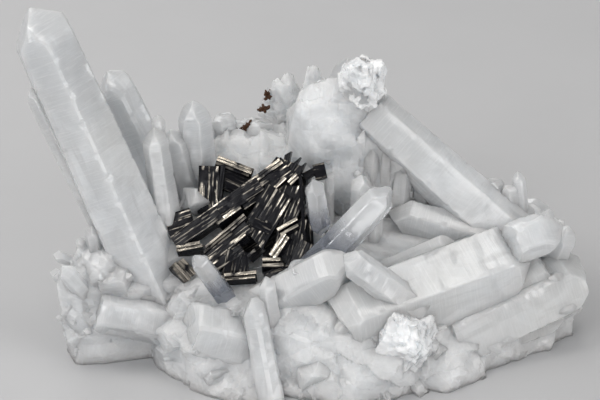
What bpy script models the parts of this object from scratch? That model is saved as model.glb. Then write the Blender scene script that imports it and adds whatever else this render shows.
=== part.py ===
"""Sphalerite on quartz: a cluster of milky quartz points with black sphalerite crystals in its hollow.

Metres, +Z up, +X along the specimen's length and -Y towards its front. The origin is the middle of the box
on the cut face that the specimen rests on. Tables below are in millimetres and degrees.

Every crystal is the solid behind a set of flat faces, each at its own distance from the crystal's middle, the way
a real crystal is bounded by faces that grew at their own speeds.
"""

import math
import random
from typing import NamedTuple

import bmesh
import bpy
from mathutils import Matrix, Vector

MM = 0.001

# Driving dimensions, in millimetres and degrees.
SEAT_GAP = 0.3  # clearance between a crystal and the quartz that it sits in
CAP_SLOPE = 38.2  # how far a quartz cap's faces lean back from the crystal's axis
TAPER = 1.2  # how far a quartz point's side faces lean in towards its tip
BED_SPREAD = 60.0  # how far the rough block reaches that each crystal is cut from
FACE_LEAN = 30.0  # how far the sphalerite's broad face leans back from upright
SPHALERITE_MIDDLE = (-11.0, -8.0, 29.3)
LOW_FAR_POINTS = 24
HIGH_FAR_POINTS = 13
MIDDLE = (1.72, 2.4)  # where the middle of the box lies in the tables' own frame

UP = Vector((0, 0, 1))
AWAY = Vector((0, 1, 0))


class Point(NamedTuple):
    """A quartz point, from its foot inside the bed to its tip."""

    name: str
    foot: tuple
    tip: tuple
    width: float  # across opposite side faces, below the cap
    turn: float = 30.0  # turn about its own length; at 30 one side face looks to the front
    thin: float = 1.0  # thickness from front to back, as a share of the width
    blunt: float = 0.0  # share of the cap that is broken off
    double: bool = False  # whether the foot has a cap too


class Lump(NamedTuple):
    """A lump of massive quartz with flat broken faces."""

    name: str
    middle: tuple
    radii: tuple
    faces: int = 22


class Blade(NamedTuple):
    """A sphalerite lamella, placed on the broad face of the group: across, up the face and out of it."""

    across: float
    up: float
    out: float
    length: float
    height: float
    depth: float
    rise: float  # angle of its length above level
    roll: float = 26.0  # angle that its long faces are rolled back, so that its ledge looks up
    point: float = 0.0  # length of its pointed end
    point_low: float = 0.0  # length of the pointed end at the other side


LUMPS = [
    Lump("core", (3, 2, 7), (43, 25, 13)),
    Lump("left_block", (-37, -6, 9), (11, 10, 11)),
    Lump("left_wall", (-42, -13, 7.5), (7.5, 6, 9.5)),
    Lump("left_bump", (-46.3, -13, 16.6), (2.3, 2.5, 2.8), 16),
    Lump("front_left_block", (-21, -17, 5), (9.5, 8, 7)),
    Lump("front_block", (-9, -21, 2), (13, 10, 11)),
    Lump("front_middle_block", (3, -22, 6), (10, 9, 11)),
    Lump("front_right_block", (15, -21, 4), (15, 9, 12)),
    Lump("front_corner_block", (27, -19, 3), (12, 9, 6)),
    Lump("right_block", (38, -4, 8), (18, 13, 12)),
    Lump("right_wall", (44, 3, 10), (12, 13, 13)),
    Lump("back_wall", (9, 15, 22), (14, 11, 24), 26),
    Lump("back_ridge", (-14, 15, 16), (15, 11, 20), 26),
    Lump("back_bed", (10, 19, 7), (36, 12, 13)),
    Lump("left_knob", (-40.5, -9, 16), (6.8, 6, 8.5), 30),
    Lump("snow_cap", (-3.2, 27, 34), (4.4, 4, 10.5), 26),
    Lump("snow_cap_small", (2.6, 24, 38), (2.6, 3, 9), 26),
    Lump("floor_step", (-20, 3, 18), (9, 7, 8)),
    Lump("inner_floor", (26, 4, 14), (10, 8, 9)),
    Lump("rim", (-16, -14, 10), (12, 7, 8)),
]

QUARTZ = [
    # the left group
    Point("tall_point", (-26.8, -9, 6), (-52.1, 2, 70), 11.8, 22),
    Point("left_sliver", (-36, -8, 18), (-52.8, -2, 54.5), 3.2, 10),
    Point("second_point", (-25.4, 8, 20), (-39.4, 13, 51.2), 7.6, 20),
    Point("slim_point", (-27.5, -2, 20), (-28.4, 4, 45.5), 2.6),
    Point("leaning_point", (-26.5, -4, 22), (-29.3, 1, 44), 5),
    Point("back_left_point", (-20.5, 8, 22), (-21.8, 12, 44.8), 6.2, 22),
    Point("back_left_stub", (-22, 6, 24), (-26.3, 9, 39.5), 4.6),
    Point("left_spike", (-40.5, -8, 14), (-41.5, -10, 28), 3.2),
    Point("corner_point", (-41, -13, 10), (-46.8, -18, 23.5), 3.4, 0),
    Point("left_block_point", (-35, -12, 4), (-38.1, -14, 23), 8, 30, 0.8, 0.6),
    Point("lying_left_point", (-22, -15, 7), (-44, -18, 13.5), 8, 0, 1.0, 0.7),
    Point("lying_upper_point", (-14, -11, 9), (-37, -13, 15), 5.5, 30),
    Point("barrel_point", (-3, -20, 5.5), (-27, -24, 14.5), 11, 40, 1.0, 0.75),
    # the front
    Point("front_slim_point", (-4, -25, 4), (-6.7, -20, 22.5), 3.5, 0),
    Point("front_long_point", (-5, -31, -4), (-9.4, -23, 20), 4.8, 10),
    Point("rim_point", (-12, -16, 9), (11, -17, 24.5), 9.5, 30),
    Point("crossing_point", (23.5, -20, 14.5), (8, -22, 28.8), 5.4, 0, 1.0, 0.35),
    Point("end_on_point", (24, -18, 7), (29.5, -27, 4), 6.5, 0, 1.0, 0.8),
    Point("front_stub", (2, -22, 4), (5, -34, 3), 9, 0, 1.0, 0.7),
    Point("front_stub_high", (8, -20, 10), (12, -29, 13), 8, 10, 1.0, 0.7),
    Point("front_stub_low", (12, -20, 3), (16, -33, 1), 8, 20, 1.0, 0.7),
    Point("front_bottom_point", (-16, -20, 3), (-15, -31, 2), 8, 20, 1.0, 0.7),
    # the right
    Point("big_lying_point", (48, -4, 18), (3, -24.4, 12.1), 14, 30, 1.0, 0.6, True),
    Point("right_barrel_point", (53, -5, 25.2), (38, -10.5, 22), 8, 10, 1.0, 0.8, True),
    Point("ledge_point", (14, -12, 17), (31, -8, 23.5), 4.2, 30),
    Point("right_low_point", (30, -16, 5), (61.4, -3, 13.4), 13.4, 20, 0.9, 0.4),
    Point("right_under_point", (27, -18, 3), (55, -8, 8), 9, 30, 0.8, 0.5),
    Point("right_middle_point", (34, -12, 8), (55, -3, 17), 12, 30, 1.0, 0.6),
    Point("inner_right_point", (43, -5, 20), (18, 1, 24.5), 7.5, 30, 0.8),
    Point("right_knob_point", (36, -8, 14), (47, -3, 23.5), 7.5, 10, 1.0, 0.6),
    Point("striped_point", (44.5, 0, 20), (42, 2, 31.6), 3.4, 0, 0.7, 0.5),
    Point("right_spire", (46, 0, 18), (44.2, 3, 33.2), 2.8, 20),
    Point("right_stub", (47, -1, 16), (46.4, 2, 26), 3, 0),
    Point("right_stub_low", (48.6, -2, 15), (48.6, 0.5, 24.8), 3, 20),
    Point("right_finger", (49, -2, 16), (50.7, 0, 26.2), 2.6, 10),
    Point("right_corner_point", (50.2, -4, 12), (54.6, -3, 23.8), 5.2, 0),
    # the back
    Point("leaning_back_point", (45.5, -3, 18), (9.4, 12, 46.4), 10, 45, 0.85, 0.8),
    Point("back_wall_left", (5, 8, 14), (6, 15, 50), 8.2, 20, 1.0, 0.4),
    Point("back_wall_peak", (11.6, 7, 14), (10, 14, 54), 10.4, 12, 0.9, 0.1),
    Point("back_wall_edge", (0, 9, 18), (0.5, 14, 44), 6.5, 10),
    Point("nook_left", (14.5, 3, 18), (14.8, 7, 39), 3.4, 0),
    Point("nook_middle", (17, 3, 18), (17.8, 6, 38), 3, 20),
    Point("nook_right", (20, 3, 18), (21.5, 5, 36), 4, 10),
    Point("nook_far", (24, 4, 16), (25.5, 6, 32), 4.4, 20),
    Point("bright_point", (12.6, -3, 18), (12.3, 0, 34), 4.2, 50),
    Point("bright_point_side", (14.5, -3, 18), (15, -1, 32), 3.6, 10),
    Point("left_floor_point", (-13, 4, 25), (-25.5, 0, 28), 6, 30, 1.0, 0.5),
    Point("ridge_shard", (-14, 16, 20), (-16.5, 21, 38.5), 5, 0, 1.0, 0.5),
    Point("ridge_shard_low", (-8, 16, 20), (-9, 21, 38), 6, 20, 1.0, 0.6),
    Point("ridge_shard_left", (-19, 15, 20), (-20, 20, 36.6), 5, 10, 1.0, 0.6),
    Point("upper_stub_left", (37, 3, 24), (36.8, 5, 31.8), 3.6, 0, 1.0, 0.4),
    Point("upper_stub_right", (40, 1, 22), (39.3, 4, 32), 4, 20, 1.0, 0.4),
]

CLEAR = [
    Point("clear_point_front", (-14.5, -17.5, 15.5), (-20.5, -19.5, 27), 3.6, 10),
    Point("clear_point_long", (2.6, -13.5, 19.5), (17.9, -10, 36.6), 5.6, 20),
    Point("clear_point_oval", (4.2, -9.5, 25.5), (2.6, -9, 38), 4, 10, 1.0, 0.0, True),
    Point("clear_point_block", (0.5, -15.5, 16), (-0.5, -16.5, 24.6), 4.6, 30, 1.0, 0.6),
]

# The main crystal: a flight of long ledges that climb to the right, then the shards of its right-hand end.
MAIN_BLADES = [
    Blade(-1.5, -3.3, -5.5, 25, 13, 8, 34, 8),
    Blade(7.9, -1, -5, 18, 7.6, 8, 86, 4),
    # the flight of ledges, from the ridge down
    Blade(-3.4, 3.2, -1.6, 28.4, 1.4, 3.4, 36, 30),
    Blade(-5.2, 0.6, -1.2, 20, 3, 4, 35, 12),
    Blade(3.6, 6.3, -1.8, 12, 4.4, 4, 36, 10),
    Blade(2.1, 5.2, -1.2, 5, 0.7, 3, 34, 28),
    Blade(-3.3, 0, -0.5, 5.8, 1, 4, 35, 28),
    Blade(-9.6, -2.6, -0.8, 11, 2.6, 4, 35, 16),
    Blade(-4.1, -3.6, 0.2, 11.4, 1.2, 4, 40, 30),
    Blade(-11, -6.2, -0.4, 5.6, 1.4, 4, 12, 24),
    Blade(-3.6, -5.6, 0, 11, 2.6, 4, 38, 14),
    Blade(-1, -4.6, 0.9, 3.4, 0.8, 3, 41, 28),
    Blade(1.3, -7.6, 1, 2.2, 0.7, 3, 40, 28),
    Blade(-4.6, -8.6, 0.2, 9, 3.4, 4, 34, 12),
    Blade(-1.6, -9.8, 0.3, 5.4, 5, 4, 78, 0),
    Blade(-12.2, -11, -0.6, 4.6, 3.2, 4, -48, 20),
    Blade(-13.2, -1.4, -3.2, 5.4, 4.4, 5, 18, 14),
    # the shards of the right-hand end
    Blade(4, -0.3, -0.8, 12, 5.8, 5, 60, 4, 0, 2),
    Blade(3.4, -2.2, -0.2, 3.8, 2, 3, -25, 8),
    Blade(9.2, 2.6, -1.4, 9, 4.8, 4, 68, 4, 2),
    Blade(6.4, 7.6, -2.6, 10, 5.4, 4, 50, 6, 2),
    Blade(8.8, -5, -1, 9.4, 5.4, 4, 78, 4, 1),
    Blade(6.8, -6.2, 0.7, 6, 1.8, 3, 57, 24),
    Blade(8.3, -1.9, 0, 5, 0.8, 3, 30, 28),
    Blade(8.9, -2.9, 0.3, 4.4, 0.7, 3, 30, 28),
    Blade(-0.9, -12, 1.4, 6.8, 1.6, 4, 5, 34),
    Blade(5.2, -8.8, 0.8, 4, 0.8, 3, 2, 30),
    Blade(5.6, -9.9, 1.1, 4.6, 0.8, 3, 2, 30),
    Blade(6.8, -11.6, 0.8, 6, 2.6, 4, 20, 18),
    Blade(10.6, -8.4, -0.6, 7, 3.2, 4, 64, 10),
    Blade(11.6, -0.4, -0.8, 16.6, 0.7, 5, 94, 0),
    Blade(12.8, -3.2, -2.8, 8.6, 1.8, 4, 92, -10, 3),
    Blade(8.3, 10.9, -3, 4, 1.2, 2.5, 80, 6, 1),
    Blade(9.6, 9.8, -2.4, 4.6, 1, 2.5, 62, 6, 2.4),
    Blade(11, 9.2, -2.2, 3.4, 1.1, 2.5, 66, 6, 2),
    Blade(6.1, 5.6, -1.2, 6.4, 0.8, 3, 44, 26),
    Blade(9.7, 7.2, -0.8, 2.6, 1.2, 3, 46, 26),
]

BACK_BLADES = [
    Blade(-7.6, 5, -7, 9.8, 4.2, 5, 88, 6),
    Blade(-2.2, 9.8, -7.2, 8, 2, 4, -21, 24),
    Blade(-3.2, 7, -7.8, 8, 4.4, 5, -24, 10),
    Blade(-5, 6.6, -6.7, 7, 1, 3, 84, 4),
]

SPUR_BLADES = [
    Blade(13.4, 8.6, -3.6, 4, 1.4, 2, 28, 10),
    Blade(15, 8.8, -3.4, 2.4, 3.2, 2, 12, 10),
]

NUB_BLADES = [Blade(15.4, -1.6, -2.4, 3.8, 1.5, 2.5, -30, 20)]

# small sphalerite crystals on the back ridge
SPECKS = [
    Lump("speck_dart", (-13.2, 18.4, 34), (1.1, 0.8, 0.6), 8),
    Lump("speck_star", (-11, 18.4, 34.8), (0.8, 0.8, 1.1), 8),
    Lump("speck_cap_low", (-7.6, 24.2, 36.4), (1.2, 1, 1), 9),
    Lump("speck_cap_high", (-6.8, 25.4, 39), (0.8, 0.8, 1.5), 9),
]


def clear_scene():
    for obj in list(bpy.data.objects):
        bpy.data.objects.remove(obj)


def material(name, colour, roughness, metallic=0.0):
    made = bpy.data.materials.new(name)
    made.use_nodes = True
    shader = made.node_tree.nodes["Principled BSDF"]
    shader.inputs["Base Color"].default_value = (*colour, 1.0)
    shader.inputs["Roughness"].default_value = roughness
    shader.inputs["Metallic"].default_value = metallic
    return made


def crystal_frame(foot, tip):
    """Two directions square to a crystal's length, and the length's own direction.

    The first runs to the right on an upright crystal, and the second away from the front.
    """
    along = (tip - foot).normalized()
    reference = AWAY if abs(along.y) < 0.95 else UP
    right = reference.cross(along).normalized()
    return right, along.cross(right), along


def cap_faces(point, middle, frame, end, chance, grow):
    """The six sloping faces that meet near a crystal's end, three of them large and three small."""
    right, back, along = frame
    slope = math.radians(CAP_SLOPE)
    faces = []
    for side in range(6):
        angle = math.radians(point.turn + 60 * side)
        outward = right * math.cos(angle) + back * math.sin(angle)
        normal = outward * math.cos(slope) + along * math.sin(slope)
        lag = chance.uniform(-0.06, 0.06) if side % 2 else chance.uniform(0.08, 0.34)
        faces.append((end + along * lag * point.width + normal * grow, normal))
    if point.blunt:
        cap_height = point.width / 2 / math.tan(slope)
        normal = (along + right * chance.uniform(-0.35, 0.35) + back * chance.uniform(-0.35, 0.1)).normalized()
        faces.append((end - along * (point.blunt * cap_height) + normal * grow, normal))
    return faces


def point_faces(point, grow=0.0):
    """Where the flat faces of a quartz point lie: each as a place on the face and its outward direction."""
    chance = random.Random(point.name)
    foot, tip = Vector(point.foot), Vector(point.tip)
    frame = crystal_frame(foot, tip)
    right, back, along = frame
    shoulder = tip - along * (point.width / 2 / math.tan(math.radians(CAP_SLOPE)))
    lean = math.radians(TAPER)
    faces = []
    for side in range(6):
        angle = math.radians(point.turn + 60 * side)
        outward = right * math.cos(angle) + back * math.sin(angle)
        reach = point.width / 2 * (1 + (point.thin - 1) * math.sin(angle) ** 2) * chance.uniform(0.9, 1.06)
        normal = outward * math.cos(lean) + along * math.sin(lean)
        faces.append((shoulder + outward * reach + normal * grow, normal))
    faces += cap_faces(point, foot, frame, tip, chance, grow)
    if point.double:
        faces += cap_faces(point, tip, (right, back, -along), foot, chance, grow)
    else:
        faces.append((foot - along * grow, -along))
    return faces


def lump_faces(lump, grow=0.0):
    """Flat faces spread evenly round a lump, each touching or cutting a little into its ellipsoid."""
    chance = random.Random(lump.name)
    middle = Vector(lump.middle)
    golden = math.pi * (3 - math.sqrt(5))
    faces = []
    for i in range(lump.faces):
        height = 1 - 2 * (i + 0.5) / lump.faces
        ring = math.sqrt(1 - height * height)
        angle = golden * i + chance.uniform(-0.35, 0.35)
        normal = Vector((ring * math.cos(angle), ring * math.sin(angle), height + chance.uniform(-0.12, 0.12)))
        normal.normalize()
        reach = math.sqrt(sum((radius * n) ** 2 for radius, n in zip(lump.radii, normal)))
        faces.append((middle + normal * (reach * chance.uniform(0.82, 1.0) + grow), normal))
    return faces


def broad_face_frame():
    """Across, up and out of the sphalerite's broad face."""
    lean = math.radians(FACE_LEAN)
    up = Vector((0, math.sin(lean), math.cos(lean)))
    return Vector((1, 0, 0)), up, Vector((1, 0, 0)).cross(up)


def blade_faces(blade, grow=0.0):
    """A lamella's six faces, its pointed ends, and its place on the group's broad face."""
    across, up, out = broad_face_frame()
    middle = Vector(SPHALERITE_MIDDLE) + across * blade.across + up * blade.up + out * blade.out
    turned = Matrix.Rotation(math.radians(blade.rise), 3, out)
    length = turned @ across
    rolled = Matrix.Rotation(math.radians(-blade.roll), 3, length)
    ledge = rolled @ (turned @ up)
    front = rolled @ out
    half = blade.length / 2
    faces = [
        (middle + ledge * (blade.height / 2 + grow), ledge),
        (middle - ledge * (blade.height / 2 + grow), -ledge),
        (middle + front * grow, front),
        (middle - front * (blade.depth + grow), -front),
        (middle + length * (half + grow), length),
        (middle - length * (half + grow), -length),
    ]
    for share, side in ((blade.point, 1), (blade.point_low, -1)):
        if share:
            normal = (length * side * blade.height + ledge * side * share).normalized()
            corner = middle + length * side * half - ledge * side * blade.height / 2
            faces.append((corner + normal * grow, normal))
    return faces


def cut_away(shape, place, normal):
    """Cuts off what lies outside a face, and closes the cut with that face."""
    everything = shape.verts[:] + shape.edges[:] + shape.faces[:]
    cut = bmesh.ops.bisect_plane(
        shape, geom=everything, dist=1e-5, plane_co=place, plane_no=normal, clear_outer=True
    )
    rim = [edge for edge in cut["geom_cut"] if isinstance(edge, bmesh.types.BMEdge)]
    if len(rim) > 2:
        bmesh.ops.contextual_create(shape, geom=rim)


def solid_behind(name, faces, start):
    """An object that holds the solid behind all these faces, cut from a rough block round its starting place."""
    shape = bmesh.new()
    bmesh.ops.create_cube(shape, size=2 * BED_SPREAD, matrix=Matrix.Translation(start))
    for place, normal in faces:
        cut_away(shape, place, normal)
    bmesh.ops.remove_doubles(shape, verts=shape.verts, dist=1e-4)
    bmesh.ops.recalc_face_normals(shape, faces=shape.faces)
    mesh = bpy.data.meshes.new(name)
    shape.to_mesh(mesh)
    shape.free()
    mesh.transform(Matrix.Scale(MM, 4) @ Matrix.Translation((-MIDDLE[0], -MIDDLE[1], 0)))
    obj = bpy.data.objects.new(name, mesh)
    bpy.context.scene.collection.objects.link(obj)
    return obj


def quartz_point(point, grow=0.0):
    middle = (Vector(point.foot) + Vector(point.tip)) / 2
    return solid_behind(point.name, point_faces(point, grow), middle)


def quartz_lump(lump, grow=0.0):
    return solid_behind(lump.name, lump_faces(lump, grow), Vector(lump.middle))


def sphalerite_blade(blade, grow=0.0):
    return solid_behind("blade", blade_faces(blade, grow), Vector(SPHALERITE_MIDDLE))


def group(name, objects):
    """Puts helper shapes in a collection that a Boolean reads, and keeps them out of the render."""
    made = bpy.data.collections.new(name)
    bpy.context.scene.collection.children.link(made)
    for obj in objects:
        bpy.context.scene.collection.objects.unlink(obj)
        made.objects.link(obj)
        obj.hide_render = True
        obj.display_type = "WIRE"
    return made


def combine(obj, operation, objects):
    """Adds a Boolean that joins these shapes to an object, or cuts them from it."""
    modifier = obj.modifiers.new(operation.title(), "BOOLEAN")
    modifier.operation = operation
    modifier.operand_type = "COLLECTION"
    modifier.solver = "EXACT"
    modifier.collection = group(f"{obj.name}_{operation.lower()}", objects)


def fused(name, shapes, finish, seats=()):
    """One solid made of overlapping shapes, with room cut out of it for what sits in it."""
    obj = shapes[0]
    obj.name = name
    obj.data.materials.append(finish)
    if len(shapes) > 1:
        combine(obj, "UNION", shapes[1:])
    if seats:
        combine(obj, "DIFFERENCE", list(seats))
    return obj


def far_points():
    """Points that fan out from the bed on the side away from the front, in a low tier and a high one."""
    chance = random.Random("far side")
    points = []
    for name, count, middle, radii, heights, climbs, reaches in (
        ("far_low", LOW_FAR_POINTS, (5, 4), (34, 17), (4, 15), (0, 34), (12, 19)),
        ("far_high", HIGH_FAR_POINTS, (2, 14), (17, 7), (17, 29), (-5, 28), (9, 15)),
    ):
        for i in range(count):
            heading = math.radians(14 + 152 * (i + chance.uniform(0.1, 0.9)) / count)
            climb = math.radians(chance.uniform(*climbs))
            outward = Vector((math.cos(heading), math.sin(heading), 0))
            foot = Vector((middle[0] + radii[0] * outward.x, middle[1] + radii[1] * outward.y, chance.uniform(*heights)))
            tip = foot + (outward * math.cos(climb) + UP * math.sin(climb)) * chance.uniform(*reaches)
            width = chance.uniform(4, 8)
            points.append(Point(f"{name}_{i}", tuple(foot), tuple(tip), width, chance.uniform(0, 60)))
    return points


def ground_block():
    """What lies below the cut face, to be taken off the bed."""
    shape = bmesh.new()
    bmesh.ops.create_cube(shape, size=4 * BED_SPREAD, matrix=Matrix.Translation((0, 0, -2 * BED_SPREAD)))
    mesh = bpy.data.meshes.new("ground")
    shape.to_mesh(mesh)
    shape.free()
    mesh.transform(Matrix.Scale(MM, 4))
    obj = bpy.data.objects.new("ground", mesh)
    bpy.context.scene.collection.objects.link(obj)
    return obj


def build_sphalerite(finish):
    """The three crystals of the group and the nub beside them, each cut clear of the ones before."""
    made = {}
    earlier = []
    for name, blades in (
        ("sphalerite_main", MAIN_BLADES),
        ("sphalerite_back", BACK_BLADES),
        ("sphalerite_spur", SPUR_BLADES),
        ("sphalerite_nub", NUB_BLADES),
    ):
        seats = [sphalerite_blade(blade, SEAT_GAP) for blade in earlier]
        made[name] = fused(name, [sphalerite_blade(blade) for blade in blades], finish, seats)
        earlier += blades
    return earlier


def build_specks(finish):
    for speck in SPECKS:
        fused(speck.name, [quartz_lump(speck)], finish)


def build_clear_points(finish, blades):
    for i, point in enumerate(CLEAR):
        seats = [sphalerite_blade(blade, SEAT_GAP) for blade in blades]
        seats += [quartz_point(earlier, SEAT_GAP) for earlier in CLEAR[:i]]
        fused(point.name, [quartz_point(point)], finish, seats)


def build_quartz(finish, blades):
    shapes = [quartz_lump(lump) for lump in LUMPS] + [quartz_point(p) for p in QUARTZ + far_points()]
    seats = [sphalerite_blade(blade, SEAT_GAP) for blade in blades]
    seats += [quartz_point(point, SEAT_GAP) for point in CLEAR]
    seats += [quartz_lump(speck, SEAT_GAP) for speck in SPECKS]
    seats.append(ground_block())
    fused("quartz_cluster", shapes, finish, seats)


def main():
    clear_scene()
    milky = material("milky_quartz", (0.80, 0.83, 0.83), 0.3)
    clear = material("clear_quartz", (0.70, 0.74, 0.76), 0.1)
    black = material("sphalerite", (0.02, 0.02, 0.022), 0.2, 0.4)
    blades = build_sphalerite(black)
    build_specks(black)
    build_clear_points(clear, blades)
    build_quartz(milky, blades)


if __name__ == "__main__":
    main()
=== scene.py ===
"""The finished look of a cluster of milky quartz points with black sphalerite crystals in its hollow.

The tables repeat the part's own, in millimetres and degrees: where each crystal stands, how wide it is
and how it is turned. Each crystal is then given its worn edges, growth lines, swellings, broken ends
and its material.
"""

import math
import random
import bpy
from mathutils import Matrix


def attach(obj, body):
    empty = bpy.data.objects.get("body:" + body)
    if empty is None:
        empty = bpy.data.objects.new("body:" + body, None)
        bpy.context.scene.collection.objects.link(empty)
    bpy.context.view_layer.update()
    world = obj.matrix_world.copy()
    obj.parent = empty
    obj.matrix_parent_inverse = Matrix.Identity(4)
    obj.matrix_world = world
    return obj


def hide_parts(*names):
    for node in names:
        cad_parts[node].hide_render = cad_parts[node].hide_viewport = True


bl_info = {
    "name": "Sphalerite on Quartz",
    "version": (1, 0, 0),
    "blender": (4, 5, 0),
    "location": "View3D > Sidebar > Mineral",
    "description": "Builds a cluster of milky quartz points with black sphalerite crystals in its hollow",
    "category": "Add Mesh",
}

from typing import NamedTuple

import bpy
import numpy as np
from mathutils import Vector

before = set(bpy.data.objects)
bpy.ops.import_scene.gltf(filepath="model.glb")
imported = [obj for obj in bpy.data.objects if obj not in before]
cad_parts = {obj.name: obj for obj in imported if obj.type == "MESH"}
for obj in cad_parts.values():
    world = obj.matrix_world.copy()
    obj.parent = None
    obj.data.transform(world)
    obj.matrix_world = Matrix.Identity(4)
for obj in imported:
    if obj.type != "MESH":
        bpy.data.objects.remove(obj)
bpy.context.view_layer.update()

# the tables are in millimetres, and this place in them is over the frame's origin
MM = 0.001
MIDDLE = (1.72, 2.4)

UP = np.array((0.0, 0.0, 1.0))
AWAY = np.array((0.0, 1.0, 0.0))
ACROSS = np.array((1.0, 0.0, 0.0))

# a quartz point: the slope of its cap, the lean of its sides, and the turn from one side to the next
CAP_SLOPE = math.radians(38.2)
TAPER = math.radians(1.2)
SIXTH = math.radians(60)

# the broad face of the sphalerite leans back
FACE_LEAN = math.radians(30.0)
SPHALERITE_MIDDLE = (-11.0, -8.0, 29.3)

# the points on the far side in tiers: count, middle, radii, heights, climbs in degrees, lengths
FAR_TIERS = {
    "far_low": (24, (5, 4), (34, 17), (4, 15), (0, 34), (12, 19)),
    "far_high": (13, (2, 14), (17, 7), (17, 29), (-5, 28), (9, 15)),
}


class Point(NamedTuple):
    """A quartz point, from its foot inside the bed to its tip."""

    name: str
    foot: tuple
    tip: tuple
    width: float
    turn: float = 30.0
    thin: float = 1.0
    blunt: float = 0.0
    double: bool = False


class Lump(NamedTuple):
    """A lump of massive quartz with flat broken faces."""

    name: str
    middle: tuple
    radii: tuple
    faces: int = 22


class Blade(NamedTuple):
    """A sphalerite lamella, placed on the broad face of the group: across, up the face and out of it."""

    across: float
    up: float
    out: float
    length: float
    height: float
    depth: float
    rise: float
    roll: float = 26.0
    point: float = 0.0
    point_low: float = 0.0


LUMPS = [
    Lump("core", (3, 2, 7), (43, 25, 13)),
    Lump("left_block", (-37, -6, 9), (11, 10, 11)),
    Lump("left_wall", (-42, -13, 7.5), (7.5, 6, 9.5)),
    Lump("left_bump", (-46.3, -13, 16.6), (2.3, 2.5, 2.8), 16),
    Lump("front_left_block", (-21, -17, 5), (9.5, 8, 7)),
    Lump("front_block", (-9, -21, 2), (13, 10, 11)),
    Lump("front_middle_block", (3, -22, 6), (10, 9, 11)),
    Lump("front_right_block", (15, -21, 4), (15, 9, 12)),
    Lump("front_corner_block", (27, -19, 3), (12, 9, 6)),
    Lump("right_block", (38, -4, 8), (18, 13, 12)),
    Lump("right_wall", (44, 3, 10), (12, 13, 13)),
    Lump("back_wall", (9, 15, 22), (14, 11, 24), 26),
    Lump("back_ridge", (-14, 15, 16), (15, 11, 20), 26),
    Lump("back_bed", (10, 19, 7), (36, 12, 13)),
    Lump("left_knob", (-40.5, -9, 16), (6.8, 6, 8.5), 30),
    Lump("snow_cap", (-3.2, 27, 34), (4.4, 4, 10.5), 26),
    Lump("snow_cap_small", (2.6, 24, 38), (2.6, 3, 9), 26),
    Lump("floor_step", (-20, 3, 18), (9, 7, 8)),
    Lump("inner_floor", (26, 4, 14), (10, 8, 9)),
    Lump("rim", (-16, -14, 10), (12, 7, 8)),
]

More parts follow.
